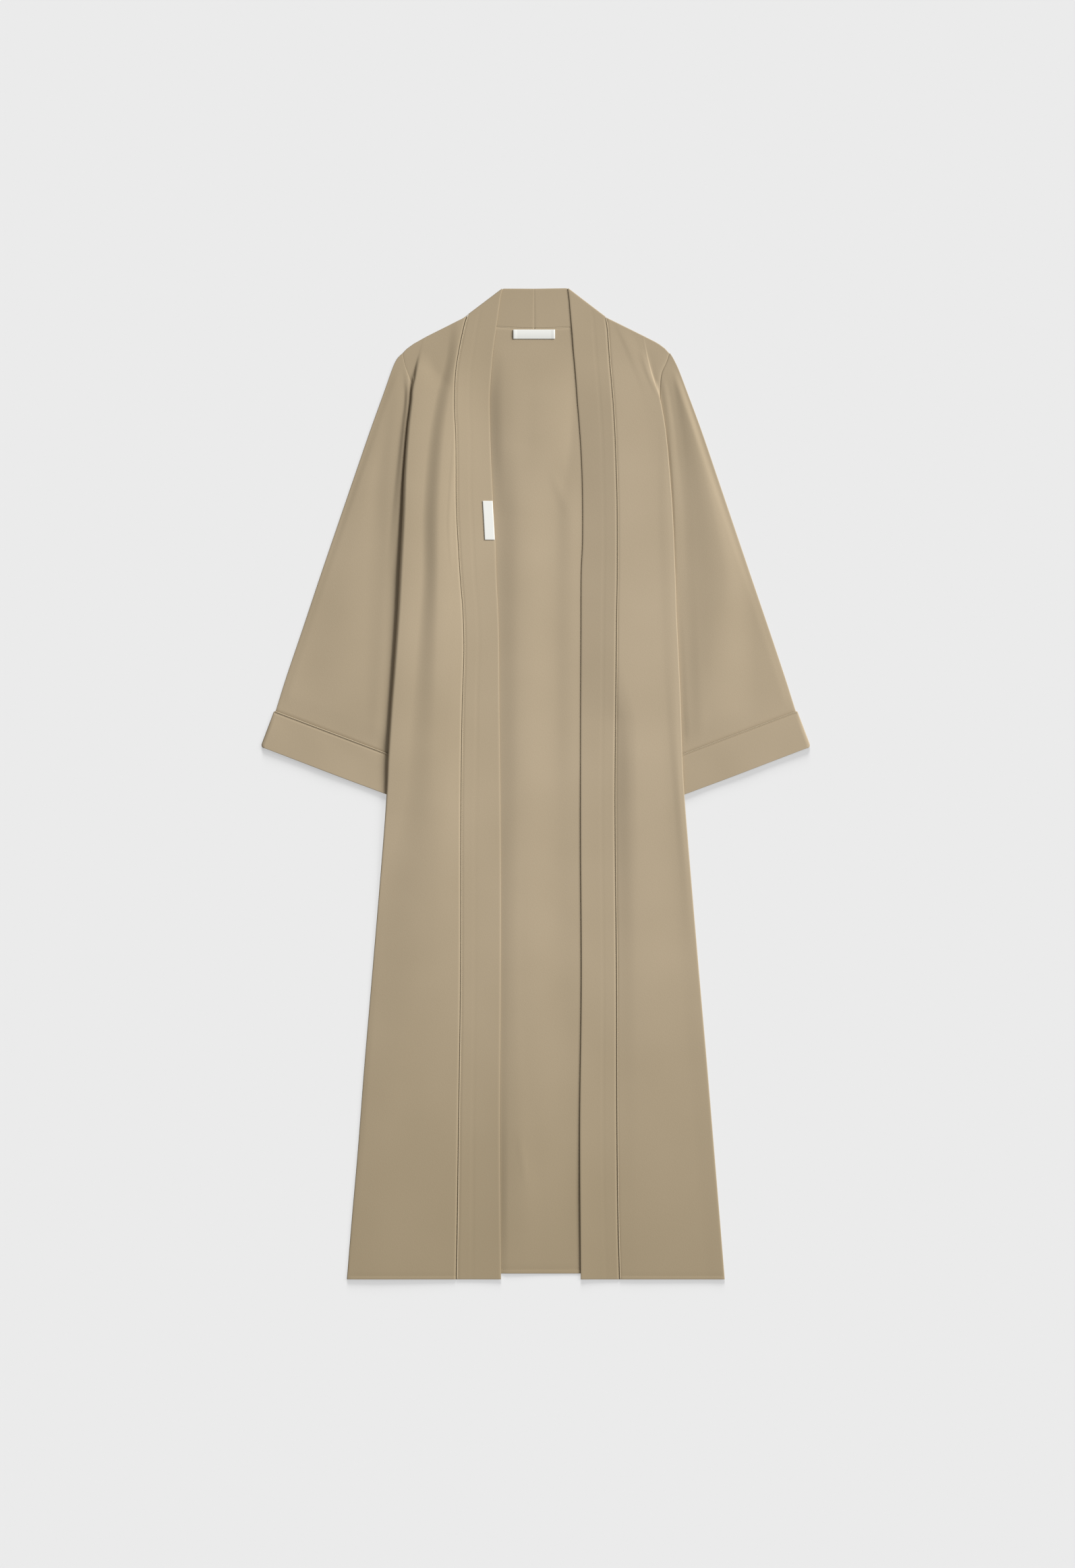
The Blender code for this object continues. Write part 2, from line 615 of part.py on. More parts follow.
def add_band(side):
    rows = []
    for drop in band_drops(side):
        turned = max(BAND_TURN_START - drop, 0.0) / (BAND_TURN_START - FRONT_ROWS[0][0])
        inner_drop = drop - BAND_TURN * turned**BAND_TURN_POWER
        rows.append([band_point(side, share, inner_drop, drop) for share in BAND_STEPS])
    top, neck, outward = collar_fold(side)
    run = (neck - top).normalized()
    neck_end = neck - run * (PIPING_RADIUS + 4 * SEAM_GAP)
    upper, lower = band_base(0), BAND_CLOTH / 2
    set_back = (upper - lower) / 2 + BAND_CLOTH / 2
    for reach, height in fold_arc(upper, lower):
        shift = outward * (reach - set_back)
        row = [top + (neck_end - top) * share + shift for share in BAND_STEPS]
        rows.append([point(side, place.x, place.y, height) for place in row])
    # The back half of the collar, from its fold to the centre back
    top_end, neck_start = top - outward * set_back, neck_end - outward * set_back
    centre = centre_back_out(side)
    for neck_out in (*NECK_OUTS, centre):
        step = (neck_start.x - neck_out) / (neck_start.x - centre)
        top_place = Vector((
            top_end.x + (centre - top_end.x) * step,
            COLLAR_DIP * step + top_end.y * (1 - smooth(step / COLLAR_CORNER)),
        ))
        neck_place = Vector((neck_out, straight(NECK_SEAM, neck_out) - NECK_CLEAR))
        row = [top_place.lerp(neck_place, share) for share in BAND_STEPS]
        rows.append([point(side, place.x, place.y, lower) for place in row])
    add_wall(f"band_{side}", rows, BAND_CLOTH, CLOTH_COLOUR)


def add_band_piping(side):
    """The piping up the front, over the shoulder fold and round the back neck."""
    column = COLUMN[side]
    path = [
        point(side, curved(PIPING, drop, column), drop, band_base(drop) + piping_lift(side, drop))
        for drop in band_drops(side)
    ]
    _, neck, outward = collar_fold(side)
    upper, lower = band_base(0), BAND_CLOTH / 2
    set_back = (upper - lower) / 2 + PIPING_RADIUS
    for reach, height in fold_arc(upper, lower):
        place = neck + outward * (reach - set_back)
        path.append(point(side, place.x, place.y, height))
    for out in (*NECK_OUTS, centre_back_out(side)):
        path.append(point(side, out, straight(NECK_SEAM, out), lower))
    add_cord(f"band_piping_{side}", path, PIPING_RADIUS, PIPING_COLOUR)


# Sleeves and cuffs, each a flattened tube

def cuff_place(along, depth):
    """Out and drop of a point on the cuff: along it from its outer edge, and down it."""
    out = CUFF_CORNER[0] - along * math.cos(CUFF_TILT) + depth * math.sin(CUFF_TILT)
    drop = CUFF_CORNER[1] + along * math.sin(CUFF_TILT) + depth * math.cos(CUFF_TILT)
    return Vector((out, drop))


def armhole_place(side, share):
    """The sleeve's own edge at the armhole, clear of the body's edge beside it."""
    drop = SHOULDER_END_DROP + share**ARMHOLE_POWER * (ARMPIT_DROP - SHOULDER_END_DROP)
    turn = straight(TURN_UNDER, drop, COLUMN[side])
    slipping = smooth((turn - SLIP_START[0]) / SLIP_START[1])
    slipped = 1.0 - smooth((SLIP_END[0] - turn) / SLIP_END[1])
    clear = ARMHOLE_CLEAR + SLIP_CLEAR * slipping * (1.0 - slipped)
    return Vector((seam_out(side, drop) + clear, drop))


def sleeve_place(side, across, along):
    """A place on the flat sleeve: across from its outer fold, along from the armhole."""
    cuff_end = -2 * (PIPING_RADIUS + SEAM_GAP)
    outer_end = cuff_place(SLEEVE_INSET, cuff_end)
    inner_end = cuff_place(CUFF_WIDTH - SLEEVE_INSET, cuff_end)
    armhole = armhole_place(side, across)
    cuff = outer_end.lerp(inner_end, across)
    drop = SHOULDER_END_DROP + along * (outer_end.y - SHOULDER_END_DROP)
    outer = Vector((curved(SLEEVE_FOLD, drop, COLUMN[side]), drop))
    shoulder, armpit = armhole_place(side, 0.0), armhole_place(side, 1.0)
    inner = armpit.lerp(inner_end, along)
    corners = shoulder.lerp(armpit, across).lerp(outer_end.lerp(inner_end, across), along)
    return armhole.lerp(cuff, along) + outer.lerp(inner, across) - corners


def sleeve_lift(side, place):
    """Height that folds and the crown add to the sleeve's upper wall, clear of the body."""
    out, drop = place
    start, over = CROWN_FROM_BODY
    inner = smooth((out - edge_out(side, drop) - start) / over)
    start, over = CROWN_FROM_FOLD
    outer = smooth((curved(SLEEVE_FOLD, drop, COLUMN[side]) - out - start) / over)
    start, over = CROWN_FROM_SHOULDER
    upper = smooth((drop - start) / over)
    to_cuff = CUFF_CORNER[1] - drop + (CUFF_CORNER[0] - out) * math.tan(CUFF_TILT)
    lower = smooth(to_cuff / CROWN_FROM_CUFF)
    return (SLEEVE_CROWN + fold_height(SLEEVE_FOLDS[side], out, drop)) * inner * outer * upper * lower


def flat_tube_ring(place_at, width, steps, low, high, wall, lift):
    """Middle points round a flattened tube: over its top, round a fold, back below.

    place_at gives a place in plan for a share of the width. low and high are the
    levels of the two walls.
    """
    radius = (high - low) / 2
    centre = (high + low) / 2
    reach = radius + wall / 2
    bends = [(radius * math.sin(k * math.pi / 4), radius * math.cos(k * math.pi / 4)) for k in (1, 2, 3)]
    flat = [reach, *[step * width for step in steps], width - reach]
    ring = [(place_at(far / width), high + lift(place_at(far / width))) for far in flat]
    ring += [(place_at((width - reach + bend) / width), centre + up) for bend, up in bends]
    ring += [(place_at(far / width), low) for far in reversed(flat)]
    ring += [(place_at((reach - bend) / width), centre - up) for bend, up in bends]
    return ring


def add_sleeve(side):
    rows = []
    for along in SLEEVE_STEPS_ALONG:
        ends = sleeve_place(side, 0.0, along), sleeve_place(side, 1.0, along)
        ring = flat_tube_ring(
            lambda across: sleeve_place(side, across, along),
            (ends[1] - ends[0]).length, SLEEVE_STEPS_ACROSS, LOW, HIGH, CLOTH,
            lambda place: sleeve_lift(side, place),
        )
        rows.append([point(side, place.x, place.y, height) for place, height in ring])
    add_wall(f"sleeve_{side}", rows, CLOTH, CLOTH_COLOUR, ring=True)


def add_cuff(side):
    low, high = CUFF_CLOTH / 2, CUFF_CLOTH * 1.5 + LAYER_GAP
    rows = []
    for share, rounding in CUFF_RINGS:
        inset = rounding * CUFF_ROUNDING
        width = CUFF_WIDTH - 2 * inset
        ring = flat_tube_ring(
            lambda across: cuff_place(inset + across * width, share * CUFF_DEPTH),
            width, CUFF_STEPS_ACROSS, low, high, CUFF_CLOTH, lambda place: 0.0,
        )
        rows.append([point(side, place.x, place.y, height) for place, height in ring])
    add_wall(f"cuff_{side}", rows, CUFF_CLOTH, CLOTH_COLOUR, ring=True)


def add_cuff_piping(side):
    """A closed loop of piping between sleeve and cuff."""
    low, high = PIPING_RADIUS, PIPING_RADIUS + CUFF_PIPING_RISE
    radius, centre = (high - low) / 2, (high + low) / 2
    depth = -PIPING_RADIUS - SEAM_GAP
    start = CUFF_PIPING_INSET + PIPING_RADIUS + radius
    ends = (start, CUFF_WIDTH - start)
    loop = [(ends[0] + (ends[1] - ends[0]) * k / 6, high) for k in range(7)]
    for angle in (math.pi / 4, math.pi / 2, 3 * math.pi / 4):
        loop.append((ends[1] + radius * math.sin(angle), centre + radius * math.cos(angle)))
    loop += [(ends[1] - (ends[1] - ends[0]) * k / 6, low) for k in range(7)]
    for angle in (math.pi / 4, math.pi / 2, 3 * math.pi / 4):
        loop.append((ends[0] - radius * math.sin(angle), centre - radius * math.cos(angle)))
    path = [point(side, *cuff_place(along, depth), height) for along, height in loop]
    add_cord(f"cuff_piping_{side}", path, PIPING_RADIUS, PIPING_COLOUR, closed=True)


# Labels

def add_neck_label():
    """A woven label inside the back neck, on the back panel's own points."""
    (left_x, top), (right_x, bottom) = NECK_LABEL["from"], NECK_LABEL["to"]
    clear = CLOTH / 2 + LABEL_GAP + LABEL_CLOTH / 2
    rows = []
    for drop in (top, (top + bottom) / 2, bottom):
        xs = [left_x + (right_x - left_x) * k / 4 for k in range(5)]
        rows.append([point("left", x, drop, back_height(x, drop) + clear) for x in xs])
    add_wall("neck_label", rows, LABEL_CLOTH, LABEL_COLOUR)


def add_side_label():
    """A woven label on the right band, on the band's own points."""
    clear = BAND_CLOTH / 2 + LABEL_GAP + LABEL_CLOTH / 2
    rows = []
    for drop in SIDE_LABEL["drops"]:
        inner = curved(BAND_EDGE, drop)
        width = curved(PIPING, drop) - PIPING_RADIUS - SEAM_GAP - inner
        row = []
        for k in range(3):
            offset = SIDE_LABEL["inset"] + SIDE_LABEL["width"] * k / 2
            place = band_point("right", offset / width, drop, drop)
            row.append(place + Vector((0, 0, clear * MM)))
        rows.append(row)
    add_wall("side_label", rows, LABEL_CLOTH, LABEL_COLOUR)


def main():
    for old in list(bpy.data.objects):
        bpy.data.objects.remove(old, do_unlink=True)
    add_back_panel()
    for side in SIDES:
        add_sleeve(side)
        add_cuff(side)
        add_cuff_piping(side)
        add_front_panel(side)
        add_band_piping(side)
        add_band(side)
    add_neck_label()
    add_side_label()


main()
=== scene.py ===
import math

import bpy
import numpy as np
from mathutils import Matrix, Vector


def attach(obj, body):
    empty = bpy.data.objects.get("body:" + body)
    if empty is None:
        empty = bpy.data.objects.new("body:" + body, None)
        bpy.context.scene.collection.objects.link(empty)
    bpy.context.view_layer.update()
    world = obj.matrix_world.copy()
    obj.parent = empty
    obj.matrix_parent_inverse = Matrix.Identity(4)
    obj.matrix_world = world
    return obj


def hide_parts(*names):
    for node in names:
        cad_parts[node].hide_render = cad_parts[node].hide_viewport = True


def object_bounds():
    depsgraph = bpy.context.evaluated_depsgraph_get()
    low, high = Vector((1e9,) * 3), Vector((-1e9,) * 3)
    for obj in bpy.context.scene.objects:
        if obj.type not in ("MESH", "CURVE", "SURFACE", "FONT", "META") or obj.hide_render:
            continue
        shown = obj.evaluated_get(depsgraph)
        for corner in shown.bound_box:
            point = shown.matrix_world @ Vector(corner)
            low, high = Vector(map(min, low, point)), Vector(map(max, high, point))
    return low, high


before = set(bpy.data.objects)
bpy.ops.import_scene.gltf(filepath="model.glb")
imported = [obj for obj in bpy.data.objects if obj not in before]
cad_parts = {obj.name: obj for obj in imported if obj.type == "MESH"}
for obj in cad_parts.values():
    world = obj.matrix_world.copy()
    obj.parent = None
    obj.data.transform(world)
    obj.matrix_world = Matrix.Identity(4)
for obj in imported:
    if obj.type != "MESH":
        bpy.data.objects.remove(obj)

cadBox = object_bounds()
print("frame loaded")

# An open-fronted abaya cloak laid flat. Sizes are in millimetres and mm turns them into metres.
# "out" is the distance from the centre line, "drop" the distance below the top of the collar.
# Tables start with the drop, unless they say otherwise, then the wearer's right, then left.
mm = 0.001
length = round((cadBox[1][1] - cadBox[0][1]) / mm)
signOf = {"right": -1, "left": 1}
columnOf = {"right": 1, "left": 2}

cloth = {
    "wall": 0.8,            # what the eye takes as one layer, doubled hems included
    "lowWall": 0.5,         # middle of the back's wall above the floor
    "highWall": 1.9,        # middle of the fronts' wall
    "foldRadius": 0.7,
    "seamGap": 0.3,
    "armholeClear": 0.75,
    "armpitDrop": 352.0,
    "shoulderEndDrop": 97.0,
    "seamDip": {"right": 0.1, "left": 0.4}, "seamSide": 1.5,   # groove at the armhole seam
}
outline = {
    "sideEdge": (
        (76, 165.5, 160.0), (90, 169.5, 163.0), (110, 175.7, 167.5), (132, 180.5, 174.0),
        (150, 183.8, 181.0), (164, 184.8, 185.0), (209, 190.0, 192.6), (276, 195.0, 199.0),
        (340, 197.5, 203.5), (423, 201.8, 207.0), (480, 204.6, 208.8), (566, 210.4, 212.8),
        (624, 214.7, 215.2), (698, 219.0, 217.5), (747, 220.8, 220.0), (823, 226.2, 226.0),
        (1023, 243.0, 243.0), (1152, 254.0, 254.2), (1280, 263.9, 264.8),
        (1384, 273.0, 273.4), (1469, 280.0, 280.3),
    ),
    "turnUnder": (
        (97, -25.1, -34.7), (111, -18.4, -24.8), (125, -11.0, -15.3), (137, -4.3, -9.4),
        (147, -0.8, -4.8), (160, 2.4, -0.3), (170, 3.2, 2.4), (200, 4.0, 4.4),
        (250, 12.0, 12.0), (310, 28.0, 28.0), (352, 48.0, 48.0), (400, 24.0, 24.0),
        (450, 11.0, 11.0), (520, 6.0, 6.0), (600, 5.0, 5.0), (1469, 5.0, 5.0),
    ),
    "shoulder": (           # out, then the drop of each side's fold
        (101, 39.4, 41.0), (104, 41.9, 43.0), (107, 44.2, 44.7), (135, 58.3, 58.5),
        (160, 70.8, 70.9), (181, 82.5, 81.5), (191, 89.9, 89.0), (197, 96.1, 95.6),
        (200, 99.3, 99.0),
    ),
    "pipingLine": (
        (39, 101.0, 104.0), (64, 107.0, 107.3), (95, 113.3, 109.5), (121, 117.3, 111.6),
        (148, 119.0, 114.0), (179, 119.5, 116.4), (213, 117.9, 118.3), (260, 117.3, 120.1),
        (324, 116.7, 121.7), (423, 111.4, 121.9), (480, 107.0, 121.0), (538, 105.6, 120.5),
        (624, 108.2, 119.7), (767, 110.0, 118.6), (1023, 110.6, 120.9),
        (1237, 113.4, 121.5), (1390, 115.3, 123.3), (1469, 116.7, 125.5),
    ),
    "bandEdge": (
        (0, 51.0, 49.2), (30, 54.8, 51.4), (65, 59.8, 54.6), (94, 63.9, 56.8),
        (130, 67.0, 60.0), (164, 68.9, 62.4), (215, 68.0, 66.4), (279, 65.7, 69.7),
        (372, 60.6, 70.4), (423, 59.0, 68.4), (509, 55.4, 68.0), (624, 54.5, 67.4),
        (823, 52.5, 67.4), (1023, 52.5, 68.6), (1237, 54.0, 66.3), (1469, 52.0, 67.3),
    ),
    "neckSeam": ((-4, 59.7), (0, 59.7), (24, 59.4), (56, 57.6), (84, 50.5)),   # out, drop
    "sleeveFold": (
        (97, 198.0, 200.6), (101.5, 203.2, 203.6), (108, 207.8, 206.9), (119, 212.6, 211.9),
        (153, 224.3, 224.3), (209, 244.4, 244.8), (270, 265.5, 265.7), (423, 318.0, 317.7),
        (509, 346.8, 347.0), (579, 370.6, 370.4), (627, 385.6, 385.6),
    ),
}


# Small maths that every piece shares

def smooth(share):
    share = np.clip(share, 0.0, 1.0)
    return share * share * (3.0 - 2.0 * share)


def straight(table, place, column=1):
    rows = np.array(table, float)
    return np.interp(place, rows[:, 0], rows[:, column])


def curved(table, place, column=1):   # a smooth curve through the table's rows
    rows = np.array(table, float)
    x, y = rows[:, 0], rows[:, column]
    last = len(x) - 1
    before, after = np.maximum(np.arange(last + 1) - 1, 0), np.minimum(np.arange(last + 1) + 1, last)
    slope = (y[after] - y[before]) / (x[after] - x[before])
    place = np.clip(place, x[0], x[-1])
    i = np.clip(np.searchsorted(x, place, side="right") - 1, 0, last - 1)
    step = x[i + 1] - x[i]
    t = (place - x[i]) / step
    return (
        (2 * t**3 - 3 * t**2 + 1) * y[i] + (t**3 - 2 * t**2 + t) * step * slope[i]
        + (3 * t**2 - 2 * t**3) * y[i + 1] + (t**3 - t**2) * step * slope[i + 1]
    )


def foldHeight(folds, out, drop):
    # Each fold is rows of drop, crest, height, width on the inner side, width on the outer
    # side. "dome" is for a swell that is steepest at its foot
    height = np.zeros(np.broadcast(out, drop).shape)
    for name, rows in folds.items():
        offset = out - curved(rows, drop, 1)
        inner, outer = curved(rows, drop, 3), curved(rows, drop, 4)
        share = np.clip(np.abs(offset) / np.where(offset < 0, inner, outer), 0.0, 1.0)
        if name.startswith("dome"):
            shape = 1.0 - share**2
        else:
            shape = np.cos(math.pi / 2 * share) ** 2
        within = (drop >= rows[0][0]) & (drop <= rows[-1][0])
        height = height + curved(rows, drop, 2) * shape * within
    return height


def edgeOut(side, drop):
    return curved(outline["sideEdge"], drop, columnOf[side])


def seamOut(side, drop):
    return edgeOut(side, drop) - curved(outline["turnUnder"], drop, columnOf[side])


def place(side, out, drop, height):
    out, drop, height = np.broadcast_arrays(out, drop, height)
    return np.stack([signOf[side] * out, length / 2 - drop, height], axis=-1)


def unit(vectors):
    return vectors / np.maximum(np.linalg.norm(vectors, axis=-1, keepdims=True), 1e-9)


# Materials

def linear(hexColour):   # sRGB hex to Blender's linear colour
    parts = [int(hexColour[i:i + 2], 16) / 255 for i in (1, 3, 5)]
    return (*[c / 12.92 if c <= 0.04045 else ((c + 0.055) / 1.055) ** 2.4 for c in parts], 1.0)


def addNode(tree, kind, settings=None, links=None):
    node = tree.nodes.new(kind)
    for name, value in (settings or {}).items():
        if hasattr(node, name):
            setattr(node, name, value)
        else:
            node.inputs[name].default_value = value
    for name, source in (links or {}).items():
        tree.links.new(source, node.inputs[name])
    return node


def newMaterial(name):
    material = bpy.data.materials.new(name)
    material.use_nodes = True
    tree = material.node_tree
    tree.nodes.clear()
    return material, tree


crepe = {
    "light": "#B9A88E", "dark": "#A4947A", "falloffShade": "#958569",
    "paintedFalloff": (              # painted shade, darker towards the hem and the top: from this height on the cloak, in metres, to this one, how much
        (-0.02, -0.85, 0.68), (0.42, 0.66, 0.20),
    ),
    # Real yarns lie 0.35 mm apart, too fine to show, so they are drawn twice as coarse
    "yarn": 0.7, "run": 5,   # mm between yarns, and how many of them a thick place runs over
    "pebble": 1.1,           # mm across the pebbles of the hard-twisted yarn
    "cloudy": 160.0,         # mm across the faint pressing marks
    "relief": 0.06,          # mm
    "cloudShare": (0.34, 0.66), "grainShare": 0.07,   # of the darker colour
    "roughness": 0.86, "sheen": 0.12, "sheenRoughness": 0.45, "sheenTint": "#E9DCC4",
}


def makeCrepe(name, relief, paintedShade=0.0):
    # Polyester crepe, woven from hard-twisted yarn: matt and finely pebbled, with a faint
    # cross grain and a soft sheen where it turns away
    material, tree = newMaterial(name)
    flat = addNode(tree, "ShaderNodeUVMap", {"uv_map": "grain"}).outputs["UV"]
    spot = addNode(tree, "ShaderNodeTexCoord").outputs["Object"]
    perMetre = 1000.0
    noises = []
    fine, coarse = crepe["yarn"], crepe["yarn"] * crepe["run"]
    for across, along in ((fine, coarse), (coarse, fine)):
        stretched = addNode(
            tree, "ShaderNodeMapping", {"Scale": (perMetre / across, perMetre / along, 1.0)},
            {"Vector": flat},
        )
        noises.append(addNode(
            tree, "ShaderNodeTexNoise", {"Scale": 1.0, "Detail": 1.0, "Roughness": 0.5},
            {"Vector": stretched.outputs["Vector"]},
        ).outputs["Fac"])
    pebbles = addNode(
        tree, "ShaderNodeTexNoise",
        {"Scale": perMetre / crepe["pebble"], "Detail": 2.0, "Roughness": 0.6}, {"Vector": spot},
    ).outputs["Fac"]
    yarns = addNode(tree, "ShaderNodeMath", {"operation": "ADD"})
    tree.links.new(noises[0], yarns.inputs[0])
    tree.links.new(noises[1], yarns.inputs[1])
    surface = addNode(tree, "ShaderNodeMath", {"operation": "ADD"})
    tree.links.new(yarns.outputs[0], surface.inputs[0])
    tree.links.new(pebbles, surface.inputs[1])
    clouds = addNode(
        tree, "ShaderNodeTexNoise",
        {"Scale": perMetre / crepe["cloudy"], "Detail": 2.0, "Roughness": 0.45}, {"Vector": spot},
    ).outputs["Fac"]
    least, most = crepe["cloudShare"]
    # paintedShade makes the whole piece lighter (below 0) or darker (above 0): painted light and shade
    cloudShare = addNode(
        tree, "ShaderNodeMapRange",
        {"From Min": 0.3, "From Max": 0.7, "To Min": least + paintedShade, "To Max": most + paintedShade},
        {"Value": clouds},
    ).outputs["Result"]
    grain = crepe["grainShare"]
    grainShare = addNode(
        tree, "ShaderNodeMapRange",
        {"From Min": 1.1, "From Max": 1.9, "To Min": -grain, "To Max": grain},
        {"Value": surface.outputs[0]},
    ).outputs["Result"]
    total = addNode(tree, "ShaderNodeMath", {"operation": "ADD"})
    tree.links.new(cloudShare, total.inputs[0])
    tree.links.new(grainShare, total.inputs[1])
    colour = addNode(
        tree, "ShaderNodeMixRGB",
        {"Color1": linear(crepe["light"]), "Color2": linear(crepe["dark"])},
        {"Fac": total.outputs[0]},
    )
    # Painted shade: the colour darkens towards the hem and towards the top of the cloak, in place of light
    # that falls off there
    heightOnCloak = addNode(tree, "ShaderNodeSeparateXYZ", {}, {"Vector": spot}).outputs["Y"]
    shaded = colour
    for start, end, most in crepe["paintedFalloff"]:
        share = addNode(
            tree, "ShaderNodeMapRange",
            {
                "From Min": start, "From Max": end, "To Min": 0.0, "To Max": most,
                "interpolation_type": "SMOOTHSTEP",
            },
            {"Value": heightOnCloak},
        ).outputs["Result"]
        shaded = addNode(
            tree, "ShaderNodeMixRGB", {"Color2": linear(crepe["falloffShade"])},
            {"Fac": share, "Color1": shaded.outputs["Color"]},
        )
    relief = addNode(
        tree, "ShaderNodeBump", {"Strength": 1.0, "Distance": relief * mm},
        {"Height": surface.outputs[0]},
    )
    shader = addNode(
        tree, "ShaderNodeBsdfPrincipled",
        {
            "Roughness": crepe["roughness"], "IOR": 1.5, "Specular IOR Level": 0.25,
            "Sheen Weight": crepe["sheen"], "Sheen Roughness": crepe["sheenRoughness"],
            "Sheen Tint": linear(crepe["sheenTint"]),
        },
        {"Base Color": shaded.outputs["Color"], "Normal": relief.outputs["Normal"]},
    )
    addNode(tree, "ShaderNodeOutputMaterial", {}, {"Surface": shader.outputs["BSDF"]})
    return material


piping = {
    "light": "#C2B297", "dark": "#AA9A7F", "rib": 1.2, "roughness": 0.8,
    "radius": 0.85, "around": 12, "step": 3.0,
    "proud": ((60, 0.0, 0.0), (900, 0.0, 0.1), (1200, 0.1, 0.35), (1469, 0.1, 0.35)),
    "overFold": 9,          # points round the shoulder's fold
    "neckOuts": (84, 56, 24), "pastCentre": 0.4,
    "cuffRise": 2.7,        # from the piping under a cuff to the piping on it
    "cuffInset": 1.2, "cuffTurn": 8, "cuffPoints": 70,
}


def makePiping():
    # The same crepe cut on the bias and wrapped round cord: paler where it is stretched,
    # with fine slanting puckers
    material, tree = newMaterial("crepe wrapped round cord")
    spot = addNode(tree, "ShaderNodeTexCoord").outputs["Object"]
    puckers = addNode(
        tree, "ShaderNodeTexNoise", {"Scale": 1000.0 / piping["rib"], "Detail": 1.0},
        {"Vector": spot},
    ).outputs["Fac"]
    colour = addNode(
        tree, "ShaderNodeMixRGB",
        {"Color1": linear(piping["light"]), "Color2": linear(piping["dark"])}, {"Fac": puckers},
    )
    relief = addNode(
        tree, "ShaderNodeBump", {"Strength": 0.8, "Distance": 0.15 * mm}, {"Height": puckers},
    )
    shader = addNode(
        tree, "ShaderNodeBsdfPrincipled",
        {"Roughness": piping["roughness"], "IOR": 1.5, "Specular IOR Level": 0.3, "Sheen Weight": 0.1},
        {"Base Color": colour.outputs["Color"], "Normal": relief.outputs["Normal"]},
    )
    addNode(tree, "ShaderNodeOutputMaterial", {}, {"Surface": shader.outputs["BSDF"]})
    return material


thread = {
    "light": "#B3A388", "dark": "#97876C", "length": 2.3, "gap": 0.5, "radius": 0.22, "sides": 5,
}
fineThread = {**thread, "length": 2.0, "gap": 0.7, "radius": 0.15}   # for the cuffs


def makeThread():
    # Spun polyester thread, twisted: duller and a little darker than the cloth
    material, tree = newMaterial("spun polyester thread")
    spot = addNode(tree, "ShaderNodeTexCoord").outputs["Object"]
    fluff = addNode(tree, "ShaderNodeTexNoise", {"Scale": 1500.0, "Detail": 1.0}, {"Vector": spot})
    colour = addNode(
        tree, "ShaderNodeMixRGB",
        {"Color1": linear(thread["light"]), "Color2": linear(thread["dark"])},
        {"Fac": fluff.outputs["Fac"]},
    )
    shader = addNode(
        tree, "ShaderNodeBsdfPrincipled", {"Roughness": 0.65, "IOR": 1.5, "Specular IOR Level": 0.3},
        {"Base Color": colour.outputs["Color"]},
    )
    addNode(tree, "ShaderNodeOutputMaterial", {}, {"Surface": shader.outputs["BSDF"]})
    return material


ribbon = {"light": "#EDEDE8", "dark": "#E2E2DC", "pick": 0.55, "relief": 0.03}


def makeRibbon():
    # Woven satin ribbon of bright polyester: a dense cross rib with a soft shine
    material, tree = newMaterial("woven satin ribbon")
    flat = addNode(tree, "ShaderNodeUVMap", {"uv_map": "grain"}).outputs["UV"]
    ribs = addNode(
        tree, "ShaderNodeTexWave",
        {"bands_direction": "Y", "Scale": 1000.0 / ribbon["pick"] * math.tau / 20, "Distortion": 0.3},
        {"Vector": flat},
    ).outputs["Fac"]
    colour = addNode(
        tree, "ShaderNodeMixRGB",
        {"Color1": linear(ribbon["light"]), "Color2": linear(ribbon["dark"])}, {"Fac": ribs},
    )
    relief = addNode(
        tree, "ShaderNodeBump", {"Strength": 0.6, "Distance": ribbon["relief"] * mm}, {"Height": ribs},
    )
    shader = addNode(
        tree, "ShaderNodeBsdfPrincipled",
        {"Roughness": 0.5, "IOR": 1.5, "Specular IOR Level": 0.4, "Sheen Weight": 0.05},
        {"Base Color": colour.outputs["Color"], "Normal": relief.outputs["Normal"]},
    )
    addNode(tree, "ShaderNodeOutputMaterial", {}, {"Surface": shader.outputs["BSDF"]})
    return material


# Each crepe's last number makes the whole piece a little lighter (below 0) or darker (above 0): painted
# light and shade
singleCrepe = makeCrepe("polyester crepe, woven", crepe["relief"], -0.10)
frontCrepe = {   # each front painted a little lighter or darker: painted light and shade for how the light falls on it
    "right": makeCrepe("polyester crepe, woven, front painted darker", crepe["relief"], 0.10),
    "left": makeCrepe("polyester crepe, woven, front painted lighter", crepe["relief"], -0.26),
}
sleeveCrepe = {   # and each sleeve, which is cut across the grain, painted lighter or darker the same way
    "right": makeCrepe("polyester crepe, woven, sleeve painted darker", crepe["relief"], 0.08),
    "left": makeCrepe("polyester crepe, woven, sleeve painted lighter", crepe["relief"], -0.10),
}
doubledCrepe = {   # pressed flat when it was folded, so its pebbles are lower; each half also painted a little lighter or darker, painted light and shade
    "right": makeCrepe("polyester crepe, doubled and pressed, painted darker", crepe["relief"] * 0.8, 0.04),
    "left": makeCrepe("polyester crepe, doubled and pressed, painted lighter", crepe["relief"] * 0.8, -0.08),
}
wrappedCord = makePiping()
sewingThread = makeThread()
labelRibbon = makeRibbon()
print("materials made")


# Mesh builders

